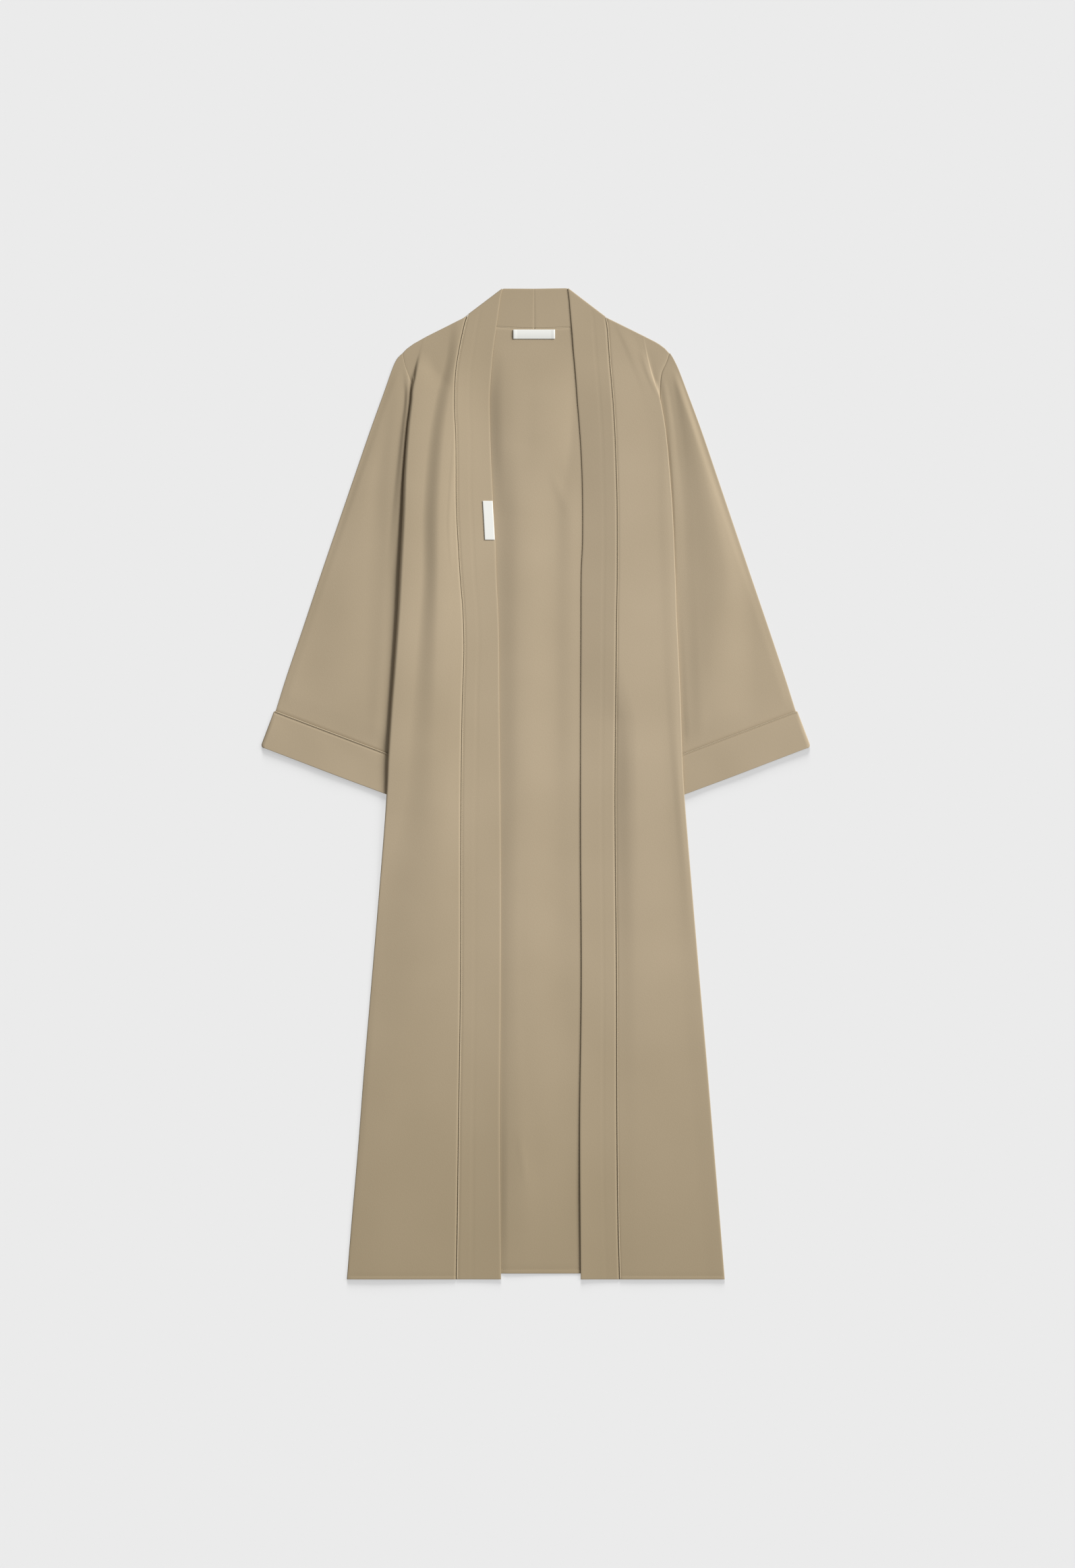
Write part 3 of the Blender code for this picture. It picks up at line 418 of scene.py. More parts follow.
def addPiece(name, points, faces, material, grain=0.0):   # points in mm, grain in degrees
    points = np.asarray(points, float)
    triangles = np.array([(f[0], f[i], f[i + 1]) for f in faces for i in range(1, len(f) - 1)])
    a, b, c = (points[triangles[:, k]] for k in range(3))
    if np.einsum("ij,ij->i", a, np.cross(b, c)).sum() < 0:
        faces = [tuple(face)[::-1] for face in faces]
    mesh = bpy.data.meshes.new(name)
    mesh.from_pydata((points * mm).tolist(), [], faces)
    turn = math.radians(grain)
    corners = np.empty(len(mesh.loops), np.int32)
    mesh.loops.foreach_get("vertex_index", corners)
    flat = points[:, :2] @ np.array([[math.cos(turn), -math.sin(turn)], [math.sin(turn), math.cos(turn)]])
    layer = mesh.uv_layers.new(name="grain")
    layer.data.foreach_set("uv", (flat[corners] * mm).astype(np.float32).ravel())
    mesh.shade_smooth()
    mesh.materials.append(material)
    piece = bpy.data.objects.new(name, mesh)
    bpy.context.scene.collection.objects.link(piece)
    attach(piece, "root")
    return piece


def addShell(name, middle, wall, material, ring=False, grain=0.0, rim=3):
    # A closed wall round a grid of middle points, with half-round edges. ring closes each row
    middle = np.array(middle, float)
    rows, wide = middle.shape[:2]
    if ring:
        across = np.roll(middle, -1, 1) - np.roll(middle, 1, 1)
    else:
        across = np.gradient(middle, axis=1)
    down = np.gradient(middle, axis=0)
    normal = unit(np.cross(across, down))
    outward = np.zeros_like(middle)
    outward[0] -= unit(down[0])
    outward[-1] += unit(down[-1])
    if not ring:
        outward[:, 0] -= unit(across[:, 0])
        outward[:, -1] += unit(across[:, -1])
    upper = (middle + normal * wall / 2).reshape(-1, 3)
    lower = (middle - normal * wall / 2).reshape(-1, 3)
    half = rows * wide
    index = np.arange(half).reshape(rows, wide)
    columns = wide if ring else wide - 1
    right = np.roll(index, -1, 1)[:, :columns]
    left = index[:, :columns]
    quads = np.stack([left[:-1], right[:-1], right[1:], left[1:]], axis=-1).reshape(-1, 4)
    faces = quads.tolist() + (quads[:, ::-1] + half).tolist()
    if ring:
        loops = [index[0], index[-1][::-1]]
    else:
        loops = [np.concatenate([index[0], index[1:, -1], index[-1, -2::-1], index[-2:0:-1, 0]])]
    points = [upper, lower]
    count = 2 * half
    flatMiddle, flatNormal, flatOutward = (a.reshape(-1, 3) for a in (middle, normal, outward))
    for loop in loops:
        strips = [loop]
        for k in range(1, rim):
            angle = math.pi * k / rim
            points.append(
                flatMiddle[loop]
                + (flatNormal[loop] * math.cos(angle) + flatOutward[loop] * math.sin(angle)) * wall / 2
            )
            strips.append(np.arange(count, count + len(loop)))
            count += len(loop)
        strips.append(loop + half)
        for above, below in zip(strips, strips[1:]):
            ahead, under = np.roll(above, -1), np.roll(below, -1)
            faces += np.stack([ahead, above, below, under], axis=-1).tolist()
    return addPiece(name, np.concatenate(points), faces, material, grain)


def lengthAlong(path):
    return np.concatenate([[0.0], np.cumsum(np.linalg.norm(np.diff(path, axis=0), axis=1))])


def evenPath(path, step):
    run = lengthAlong(path)
    spots = np.linspace(0, run[-1], max(int(run[-1] / step), 2) + 1)
    return np.stack([np.interp(spots, run, path[:, k]) for k in range(3)], axis=-1)


def rounded(path, passes=2):   # softens the corners of a given path
    for _ in range(passes):
        quarter = path[:-1] * 0.75 + path[1:] * 0.25
        threeQuarter = path[:-1] * 0.25 + path[1:] * 0.75
        between = np.stack([quarter, threeQuarter], axis=1).reshape(-1, 3)
        path = np.concatenate([path[:1], between, path[-1:]])
    return path


def addCord(name, path, radius, material, closed=False, around=12):
    count = len(path)
    if closed:
        along = unit(np.roll(path, -1, 0) - np.roll(path, 1, 0))
    else:
        along = unit(np.gradient(path, axis=0))
    up = np.empty_like(path)
    lastUp = np.array([0.0, 0.0, 1.0])
    for i in range(count):
        lastUp = unit(lastUp - along[i] * lastUp.dot(along[i]))
        up[i] = lastUp
    beside = np.cross(along, up)
    angles = 2 * math.pi * (np.arange(around) + 0.5) / around
    ringShape = np.cos(angles)[None, :, None] * up[:, None] + np.sin(angles)[None, :, None] * beside[:, None]
    points = (path[:, None] + ringShape * radius).reshape(-1, 3)
    points[:, 2] = np.maximum(points[:, 2], 0.0)   # flattened where it is pressed on the floor
    index = np.arange(count * around).reshape(count, around)
    rings = np.concatenate([index, index[:1]]) if closed else index
    turned = np.roll(rings, -1, 1)
    faces = np.stack([rings[:-1], turned[:-1], turned[1:], rings[1:]], axis=-1).reshape(-1, 4).tolist()
    if not closed:
        faces += [index[0][::-1].tolist(), index[-1].tolist()]
    return addPiece(name, points, faces, material)


def addStitches(name, paths, stitch=thread):   # running stitches, each a short sunk-in lens
    points, faces = [], []
    count = 0
    sides = stitch["sides"]
    shareAlong = np.array([0.0, 0.2, 0.5, 0.8, 1.0])
    thickness = np.array([0.45, 0.9, 1.0, 0.9, 0.45])
    sink = np.array([-0.9, 0.1, 0.35, 0.1, -0.9])
    angles = 2 * math.pi * np.arange(sides) / sides
    for path in paths:
        run = lengthAlong(path)
        pitch = stitch["length"] + stitch["gap"]
        starts = np.arange(0, run[-1] - stitch["length"], pitch)
        spots = starts[:, None] + shareAlong * stitch["length"]
        centre = np.stack([np.interp(spots, run, path[:, k]) for k in range(3)], axis=-1)
        along = unit(centre[:, -1] - centre[:, 0])[:, None]
        beside = unit(np.cross(along, np.array([0.0, 0.0, 1.0])))
        up = unit(np.cross(beside, along))
        centre = centre + up * (sink * stitch["radius"])[None, :, None]
        ring = (
            np.cos(angles)[:, None] * beside[:, :, None] + np.sin(angles)[:, None] * up[:, :, None]
        )
        shape = centre[:, :, None] + ring * (thickness * stitch["radius"])[None, :, None, None]
        index = np.arange(shape.shape[0] * 5 * sides).reshape(-1, 5, sides) + count
        turned = np.roll(index, -1, 2)
        faces += np.stack(
            [index[:, :-1], turned[:, :-1], turned[:, 1:], index[:, 1:]], axis=-1
        ).reshape(-1, 4).tolist()
        faces += index[:, 0, ::-1].tolist() + index[:, -1].tolist()
        points.append(shape.reshape(-1, 3))
        count += shape.shape[0] * 5 * sides
    piece = addPiece(name, np.concatenate(points), faces, sewingThread)
    return piece


# Front panels, from the piping to the seam under the side fold

front = {
    "folds": {              # drop, crest, height, width inwards, width outwards
        "right": {
            "mainFold": (
                (40, 112, 0.0, 50, 14), (110, 118, 2.6, 58, 17), (160, 127, 4.2, 66, 21),
                (230, 136, 5.2, 66, 24), (330, 142, 6.2, 61, 26), (430, 143, 5.6, 60, 26),
                (540, 146, 4.7, 62, 31), (650, 150, 3.0, 64, 36), (780, 154, 2.2, 68, 44),
                (900, 162, 2.6, 84, 72), (1050, 178, 2.2, 100, 84), (1200, 208, 1.4, 120, 80),
                (1350, 220, 0.9, 120, 70), (1469, 224, 0.7, 120, 60),
            ),
            "besidePiping": (
                (200, 119, 0.0, 4, 3), (288, 125, 0.3, 7, 4), (353, 128, 0.3, 7, 4),
                (430, 124, 0.0, 6, 3),
            ),
        },
        "left": {
            "longSlope": (
                (110, 116, 0.0, 45, 60), (160, 116, 0.8, 45, 70), (230, 117, 1.4, 46, 84),
                (330, 118, 1.2, 46, 92), (430, 118, 1.0, 46, 92), (540, 118, 0.9, 46, 90),
                (600, 126, 1.4, 36, 80), (650, 137, 1.1, 26, 72), (780, 142, 1.1, 28, 68),
                (900, 147, 1.6, 30, 72), (1050, 150, 1.4, 34, 80), (1220, 152, 0.6, 36, 80),
                (1469, 152, 0.2, 36, 80),
            ),
            "besideEdge": (
                (180, 190, 0.0, 10, 12), (330, 192, 0.25, 12, 22), (430, 197, 0.25, 14, 22),
                (540, 201, 0.25, 14, 22), (650, 206, 0.45, 12, 16), (780, 216, 0.55, 12, 16),
                (900, 226, 0.25, 14, 14), (1000, 230, 0.0, 14, 14),
            ),
            "neckRidge": (
                (45, 118, 0.0, 8, 16), (80, 134, 0.4, 9, 18), (110, 147, 0.3, 10, 16),
                (150, 162, 0.1, 10, 16), (190, 170, 0.0, 10, 16),
            ),
            "armholeFold": (
                (90, 161, 0.0, 14, 4), (100, 164.5, 0.4, 16, 3.5), (112, 167.5, 0.8, 14, 3),
                (127, 171.5, 0.9, 12, 3), (145, 178, 0.5, 10, 2.5), (163, 184, 0.1, 8, 2.5),
                (175, 187, 0.0, 8, 2.5),
            ),
        },
    },
    "rise": (               # over the sleeve and cuff below
        (70, 0.0), (105, 0.5), (140, 1.7), (180, 2.5), (230, 2.75), (640, 2.75), (700, 4.1),
        (760, 4.1), (830, 2.9), (900, 1.5), (980, 0.5), (1060, 0.0),
    ),
    "ramp": {               # where that rise starts and is complete: drop, start, end
        "right": ((40, 75, 140), (300, 70, 148), (1469, 70, 160)),
        "left": (
            (40, 90, 116), (230, 90, 116), (330, 66, 122), (540, 66, 122), (640, 106, 150),
            (1469, 106, 160),
        ),
    },
    "besideFold": {         # how the cloth sinks between that armhole fold and the seam
        "right": ((96, 0.0), (97, 0.0)),
        "left": ((90, 0.0), (104, -0.35), (127, -0.5), (150, -0.1), (160, 0.4), (168, 0.0)),
    },
    "edgeLift": (           # how far the side fold stands up: drop, right, left
        (96, 0.0, 0.0), (108, 1.0, 0.0), (120, 2.4, 0.0), (150, 4.0, 0.2), (210, 6.0, 0.3),
        (300, 7.6, 0.3), (430, 7.6, 0.3), (560, 6.0, 0.3), (680, 4.2, 0.4), (780, 1.2, 0.4),
        (900, 0.6, 0.4), (1469, 0.6, 0.4),
    ),
    "liftReach": (          # how far in from the fold that lift starts
        (96, 16, 16), (120, 30, 20), (150, 64, 26), (230, 84, 30), (1469, 84, 30),
    ),
    "slopeShare": (         # base drop of a row, share of the shoulder's slope it follows
        (40, 1.0), (50, 0.94), (61, 0.87), (73, 0.78), (85, 0.70), (97, 0.62), (108, 0.55),
        (118, 0.50), (127, 0.44), (136, 0.38), (145, 0.32), (156, 0.26), (176, 0.16),
        (204, 0.06), (240, 0.0), (1469, 0.0),
    ),
    "shoulderBase": 40.0,
    "ditch": (              # how far the cloth sinks into the piping's seam
        (40, 0.9, 0.25), (1000, 0.9, 0.25), (1100, 0.9, 0.1), (1200, 0.9, 0.1),
        (1350, 1.4, 0.15), (1469, 1.6, 0.15),
    ),
    "ditchFloor": 1.1, "ditchSlope": 2.4,
    "hemDepth": 5.0,
    "columns": 56, "arcSteps": 8,
    "nearPiping": (0.0, 0.006, 0.013, 0.022),   # shares of the width, close columns
    "foldFade": 8,          # width beside the side fold over which the folds die out
    "levelFrom": (0.8, 3.2), "closedFrom": (9.0, 8.0),   # of the turn-under, where it starts, over what
    "underFall": 1.6,
    "rollUnder": (0.55, -1.8), "rollOver": 1.25, "rollSteps": 6,   # of the shoulder's edge
    "closeStep": 3.2, "closeTo": 240, "step": 5.0,
    "edgeAt": 168.0, "seamAt": 196.0,   # out, where the drops of side fold and seam are read
    "opening": {"right": 5.0, "left": 2.4},   # width of the cloth's fall beside the open fold
    "underShares": (0.2, 0.4, 0.6, 0.8, 0.94, 0.97, 1.0),
}


hem = {
    "doubled": 0.25, "doubledFrom": 1.5, "doubledOver": 2.0,
    "pulled": 0.35, "pulledWidth": 1.5,   # by the thread
    "rows": (-1.6, -0.7, 0.0, 0.7, 1.6), "lastRow": 0.8,
}


def hemRows(hemDrop, stitchLines, wall):   # close rows where the hem is stitched
    near = {hemDrop - wall / 2, hemDrop - wall / 2 - hem["lastRow"]}
    for line in stitchLines:
        near |= {hemDrop - line + step for step in hem["rows"]}
    return sorted(near)


def hemRelief(drop, hemDrop, stitchLines):
    # The hem is folded double, a little thicker, and sinks where the thread pulls it
    start = hemDrop - max(stitchLines) - hem["doubledFrom"]
    doubled = hem["doubled"] * smooth((drop - start) / hem["doubledOver"])
    pulled = np.zeros(np.shape(drop))
    for line in stitchLines:
        away = np.minimum(np.abs(drop - (hemDrop - line)) / hem["pulledWidth"], 1.0)
        pulled = pulled - hem["pulled"] * np.cos(math.pi / 2 * away) ** 2
    return doubled + pulled


def frontFolds(side, out, drop):
    outer = edgeOut(side, drop) - out
    return foldHeight(front["folds"][side], out, drop) * smooth(outer / front["foldFade"])


def frontRise(side, out, drop):
    start, end = (straight(front["ramp"][side], drop, k) for k in (1, 2))
    return curved(front["rise"], drop) * smooth((out - start) / (end - start))


def pipingLift(side, drop):   # the cloth below and the folds carry the piping and the band
    out = curved(outline["pipingLine"], drop, columnOf[side])
    return frontRise(side, out, drop) + frontFolds(side, out, drop)


def frontHeight(side, out, drop):
    column = columnOf[side]
    inner = out - curved(outline["pipingLine"], drop, column)
    outer = edgeOut(side, drop) - out
    reach = straight(front["liftReach"], drop, column)
    lift = straight(front["edgeLift"], drop, column) * smooth(1.0 - outer / reach)
    outOfDitch = smooth((inner - front["ditchFloor"]) / front["ditchSlope"])
    ditch = straight(front["ditch"], drop, column) * (1.0 - outOfDitch)
    hemmed = hemRelief(drop, length, (front["hemDepth"],))
    raised = frontRise(side, out, drop) + frontFolds(side, out, drop) + lift
    return cloth["highWall"] + raised - ditch + hemmed


def sideTurn(side, edgeDrop, seamDrop):
    # Round the side fold, and back under it to the seam. Near the shoulder the fold opens
    edge = edgeOut(side, edgeDrop)
    turn = curved(outline["turnUnder"], seamDrop, columnOf[side])
    seam = seamOut(side, seamDrop)
    rise = curved(front["rise"], edgeDrop)
    lift = straight(front["edgeLift"], edgeDrop, columnOf[side])
    top = cloth["highWall"] + rise + lift
    radius = cloth["foldRadius"] + lift / 2
    before, over = front["levelFrom"]
    under = smooth((turn + before) / over)
    end = cloth["highWall"] + (cloth["lowWall"] + rise - cloth["highWall"]) * under
    centreOut, centreUp = edge - radius - cloth["wall"] / 2, top - radius
    reachOut, reachUp = seam - centreOut, end - centreUp
    bearing = np.arctan2(reachUp, reachOut)
    bearing = np.where(bearing > math.pi / 2, bearing - 2 * math.pi, bearing)
    reach = np.maximum(np.hypot(reachOut, reachUp), radius * 1.0001)
    angle = math.pi / 2 - bearing - np.arccos(radius / reach)
    before, over = front["closedFrom"]
    folded = smooth((turn + before) / over)
    opening = front["opening"][side]
    outs, heights = [centreOut], [top]
    sunk = straight(front["besideFold"][side], edgeDrop) * (1.0 - folded)
    for k in range(1, front["arcSteps"] + 1):
        share = k / front["arcSteps"]
        foldedOut = centreOut + radius * np.sin(angle * share)
        foldedUp = centreUp + radius * np.cos(angle * share)
        openOut = centreOut + opening * share
        openUp = top + (end - top) * smooth(share) + sunk * smooth(share)
        outs.append(openOut + (foldedOut - openOut) * folded)
        heights.append(openUp + (foldedUp - openUp) * folded)
    lastOut, lastUp = outs[-1], heights[-1]
    for share in front["underShares"]:
        toSeam = np.abs(seam - lastOut) * (1.0 - share)
        groove = cloth["seamDip"][side] * (1.0 - under) * (1.0 - smooth(toSeam / cloth["seamSide"]))
        outs.append(lastOut + (seam - lastOut) * share)
        heights.append(lastUp + (end - lastUp) * smooth(share * front["underFall"]) - groove)
    return np.stack(outs, axis=1), np.stack(heights, axis=1)


def frontDrop(side, base, slope, out):
    return base + (straight(outline["shoulder"], out, columnOf[side]) - front["shoulderBase"]) * slope


def pipingDrop(side, base, slope):
    drop = base
    for _ in range(4):
        drop = frontDrop(side, base, slope, curved(outline["pipingLine"], drop, columnOf[side]))
    return drop


def frontGrid(side):
    # The shoulder edge rolls down over the back, then come the rows down to the hem
    radius = cloth["foldRadius"]
    roll = [front["rollUnder"]]
    roll += [
        (front["rollOver"] - radius * math.cos(a), radius * math.sin(a) - radius)
        for a in np.linspace(0, math.pi / 2, front["rollSteps"])
    ]
    start = front["shoulderBase"]
    bases = list(np.arange(start + 3.0, front["closeTo"], front["closeStep"]))
    bases += list(np.arange(front["closeTo"], length - 12, front["step"]))
    bases += hemRows(length, (front["hemDepth"],), cloth["wall"])
    base = np.array([start + down for down, _ in roll] + bases)
    lift = np.array([up for _, up in roll] + [0.0] * len(bases))
    slope = np.where(base < start + 2, 1.0, straight(front["slopeShare"], base))
    pipeDrop = pipingDrop(side, base, slope)
    inner = curved(outline["pipingLine"], pipeDrop, columnOf[side]) + piping["radius"] + cloth["seamGap"]
    edgeDrop = frontDrop(side, base, slope, front["edgeAt"])
    nearSeam = seamOut(side, frontDrop(side, base, slope, front["seamAt"]))
    seamDrop = frontDrop(side, base, slope, nearSeam)
    turnOut, turnUp = sideTurn(side, edgeDrop, seamDrop)
    share = np.linspace(0, 1, front["columns"] + 1)[:-1]
    share = np.concatenate([front["nearPiping"], share[2:]])
    fieldOut = inner[:, None] + share * (turnOut[:, :1] - inner[:, None])
    fieldDrop = frontDrop(side, base[:, None], slope[:, None], fieldOut)
    fieldUp = frontHeight(side, fieldOut, fieldDrop)
    turnDrop = frontDrop(side, base[:, None], slope[:, None], turnOut)
    outs = np.concatenate([fieldOut, turnOut], axis=1)
    drops = np.concatenate([fieldDrop, turnDrop], axis=1)
    ups = np.concatenate([fieldUp, turnUp], axis=1) + lift[:, None]
    return place(side, outs, drops, np.maximum(ups, cloth["lowWall"]))


armholeLine = {}   # drops and outs of each front's outer end, which the sleeve meets


def makeFront(side):
    grid = frontGrid(side)
    armholeLine[side] = length / 2 - grid[:, -1, 1], grid[:, -1, 0] * signOf[side]
    piece = addShell(f"frontPanel{side.title()}", grid, cloth["wall"], frontCrepe[side])
    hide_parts(f"front_panel_{side}")
    pipingEnd = float(curved(outline["pipingLine"], length, columnOf[side]))
    outs = np.linspace(pipingEnd + 2, edgeOut(side, length) - 2, 60)
    drop = length - front["hemDepth"]
    ups = frontHeight(side, outs, drop) + cloth["wall"] / 2
    addStitches(f"hemStitches{side.title()}", [place(side, outs, drop, ups)])


for side in signOf:
    makeFront(side)
print("front panels made")


# Back panel, seen between the bands and from below

back = {
    "folds": {              # here the place across is x, from the wearer's right to left
        "domeNeck": (
            (82, -4, 0.0, 60, 58), (130, -5, 2.6, 64, 60), (170, -6, 4.4, 66, 62),
            (230, -8, 4.2, 62, 60), (290, -12, 1.6, 54, 56), (340, -14, 0.0, 50, 52),
        ),
        "longSwell": (
            (230, -24, 0.0, 42, 62), (290, -24, 2.2, 42, 62), (340, -23, 3.4, 40, 62),
            (540, -24, 3.4, 38, 62), (780, -24, 2.8, 38, 62), (1050, -24, 2.2, 38, 72),
            (1200, -18, 1.7, 44, 76), (1320, -10, 2.0, 44, 72), (1400, -4, 1.0, 46, 60),
            (1461, 0, 0.2, 48, 60),
        ),
        "besideRightBand": (
            (90, -46, 0.0, 16, 46), (110, -46, 0.5, 17, 46), (160, -49, 1.6, 19, 46),
            (230, -48, 1.7, 19, 44), (290, -46, 0.6, 18, 40), (340, -44, 0.0, 16, 36),
        ),
        "lowRightBand": (
            (700, -43, 0.0, 10, 26), (900, -43, 0.4, 10, 26), (1050, -43, 0.5, 10, 26),
            (1200, -43, 0.8, 10, 40), (1350, -43, 1.8, 10, 56), (1461, -43, 0.8, 10, 56),
        ),
        "besideLeftBand": (
            (270, 50, 0.0, 18, 18), (330, 50, 0.8, 20, 20), (430, 50, 0.5, 22, 20),
            (650, 50, 0.4, 22, 18), (760, 50, 0.0, 20, 16),
        ),
        "slantCrease": (
            (270, 24, 0.0, 8, 12), (300, 34, 0.5, 10, 14), (340, 48, 0.0, 8, 12),
        ),
        "smallCrease": (
            (1240, -26, 0.0, 4, 5), (1290, -20, 0.4, 4, 6), (1337, -14, 0.0, 4, 5),
        ),
    },
    "rise": ((325, 0.0), (345, 2.75), (640, 2.75), (680, 4.1), (775, 4.1), (840, 0.0)),
    "ramp": (124.0, 146.0),
    "topColumns": (         # out on a level row, out on the top edge. None is the corner
        (0, 0), (24, 24), (56, 56), (90, 84), (124, None), (131, 124), (138, 146), (146, 166),
    ),
    "neckClear": 0.9, "shoulderClear": 2.4, "corner": {"right": 103.2, "left": 107.2},
    "levelFrom": 112.0, "hemDrop": 1460.5, "hemLines": (6.5,),
    "shoulderFrom": 100,    # out, where the top edge leaves the neck for the shoulder
    "lowest": 0.42, "hemMost": 0.25, "stitchesTo": 272,
    "innerColumns": 34, "outerColumns": 16, "topRows": 14, "step": 6.0,
}


def backHeight(x, drop):
    start, end = back["ramp"]
    raised = straight(back["rise"], drop) * smooth((np.abs(x) - start) / (end - start))
    return cloth["lowWall"] + raised + foldHeight(back["folds"], x, drop)


def backHalf(side):
    levelEnd, topEnd = back["topColumns"][-1]
    inner = np.linspace(0, levelEnd, back["innerColumns"])
    outerShare = np.linspace(0, 1, back["outerColumns"] + 1)[1:]
    drops = list(np.arange(back["levelFrom"], back["hemDrop"] - 14, back["step"]))
    drops = np.array(drops + hemRows(back["hemDrop"], back["hemLines"], cloth["wall"]))
    clear = np.where(drops < cloth["armpitDrop"], cloth["armholeClear"], cloth["seamGap"])
    seam = seamOut(side, drops) - clear
    outs = np.concatenate(
        [np.tile(inner, (len(drops), 1)), levelEnd + (seam[:, None] - levelEnd) * outerShare],
        axis=1,
    )
    levelDrops = np.tile(drops[:, None], (1, outs.shape[1]))
    corner = back["corner"][side]
    keys = [(level, corner if top is None else top) for level, top in back["topColumns"]]
    topSeam = seamOut(side, cloth["shoulderEndDrop"]) - cloth["armholeClear"]
    topOut = np.concatenate([straight(keys, inner), topEnd + (topSeam - topEnd) * outerShare])
    topDrop = np.where(
        topOut < back["shoulderFrom"],
        straight(outline["neckSeam"], topOut) + back["neckClear"],
        straight(outline["shoulder"], topOut, columnOf[side]) + back["shoulderClear"],
    )
    share = np.linspace(0, 1, back["topRows"])[:-1, None]
    upperOuts = topOut + (outs[0] - topOut) * share
    upperDrops = topDrop + (levelDrops[0] - topDrop) * share
    return np.concatenate([upperOuts, outs]), np.concatenate([upperDrops, levelDrops])


def makeBack():
    grids = []
    for side in signOf:
        outs, drops = backHalf(side)
        x = signOf[side] * outs
        ups = backHeight(x, drops)
        hemmed = hemRelief(drops, back["hemDrop"], back["hemLines"])
        ups = np.maximum(ups + np.minimum(hemmed, back["hemMost"]), back["lowest"])
        grids.append(np.stack([x, length / 2 - drops, ups], axis=-1))
    middle = np.concatenate([grids[0][:, :0:-1], grids[1]], axis=1)
    piece = addShell("backPanel", middle, cloth["wall"], singleCrepe)
    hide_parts("back_panel")
    x = np.linspace(-back["stitchesTo"], back["stitchesTo"], 300)
    paths = []
    for line in back["hemLines"]:
        drop = back["hemDrop"] - line
        ups = backHeight(x, drop) + cloth["wall"] / 2
        paths.append(np.stack([x, np.full(x.shape, length / 2 - drop), ups], axis=-1))
    addStitches("hemStitchesBack", paths)


makeBack()
print("back panel made")


# Front bands and collar. Each half is one strip, from the hem over the shoulder to the
# centre back

band = {
    "wall": 1.2, "clear": 0.2,
    "collarLift": 0.3, "collarLiftFrom": 112, "collarLiftOver": 46,
    "lift": (               # of the free edge off the cloth below: drop, right, left
        (0, 0.0, 0.0), (60, 0.6, 0.3), (130, 1.2, 0.3), (230, 1.1, 0.0), (330, 0.5, 0.0),
        (700, 0.4, 0.0), (780, 0.3, 0.4), (1100, 0.3, 0.5), (1200, 0.5, 0.8),
        (1350, 1.0, 1.6), (1469, 0.6, 1.0),
    ),
    "collarTop": {"right": (50.6, 1.2), "left": (48.9, 0.6)},      # out, drop
    "collarNeck": {"right": (101.2, 39.5), "left": (105.2, 43.6)},
    "centreDrop": 1.6, "cornerRise": 1.0, "centreBack": -2.0, "neckClear": 1.2,
    "neckSunk": 0.35,       # of the piping into the neck seam
    "turnStart": 128.0, "turn": 38.0, "topRow": (50.0, 0.94),
    "ditch": ((0, 0.0, 0.4), (900, 0.0, 0.6), (1469, 0.0, 0.6)),   # beside the piping
    "ditchWidth": 3.0,
    "facing": 20.0,         # how far in from the piping the fold inside the band shows
    "facingWidth": 2.2, "facingDepth": 0.18, "liftFall": 2.5,
    "stitchInset": 1.0, "stitchWidth": 1.2, "stitchDepth": 0.30,
    "cornerOver": 20, "joinOver": 8,   # shares of the way to the centre back, as one part in
    "nearPiping": (0.93, 0.955, 0.974, 0.988, 1.0),
    "across": 22, "step": 4.5, "foldSteps": 12, "backStep": 4.0,
}


def bandBase(drop):
    nearCollar = smooth((band["collarLiftFrom"] - drop) / band["collarLiftOver"])
    return cloth["wall"] + band["clear"] + band["wall"] / 2 + band["collarLift"] * nearCollar


def bandPlace(side, share, innerDrop, outerDrop):   # share is 0 at the free edge
    column = columnOf[side]
    inner = curved(outline["bandEdge"], innerDrop, column)
    outer = curved(outline["pipingLine"], outerDrop, column) - piping["radius"] - cloth["seamGap"]
    drop = innerDrop + share * (outerDrop - innerDrop)
    lift = straight(band["lift"], drop, column) * (1.0 - share) ** band["liftFall"]
    width = outer - inner
    ridge = np.abs((1.0 - share) * width - band["facing"]) / band["facingWidth"]
    relief = -band["facingDepth"] * np.cos(math.pi / 2 * np.minimum(ridge, 1.0)) ** 2
    seamAway = np.abs((1.0 - share) * width - band["stitchInset"]) / band["stitchWidth"]
    pulled = np.cos(math.pi / 2 * np.minimum(seamAway, 1.0)) ** 2
    relief = relief - band["stitchDepth"] * pulled
    ditch = straight(band["ditch"], drop, column)
    relief = relief - ditch * smooth(1.0 - (1.0 - share) * width / band["ditchWidth"])
    carried = pipingLift(side, outerDrop) * share
    return place(side, inner + share * width, drop, bandBase(drop) + lift + relief + carried)


def foldArc(upper, lower, steps):
    radius, centre = (upper - lower) / 2, (upper + lower) / 2
    angles = np.linspace(0, math.pi, steps)
    return zip(radius * np.sin(angles), centre + radius * np.cos(angles))


def bandShares():   # even across, closer beside the piping
    shares = np.linspace(0, 1, band["across"])[:-2]
    return np.concatenate([shares, band["nearPiping"]])


def collarFrame(side):
    top, neck = np.array(band["collarTop"][side]), np.array(band["collarNeck"][side])
    run = unit(neck - top)
    return top, neck, run, np.array([run[1], -run[0]])


def collarLevels():
    return bandBase(0.0), band["wall"] / 2


def centreOut(side):
    return signOf[side] * band["centreBack"] + cloth["seamGap"] / 2


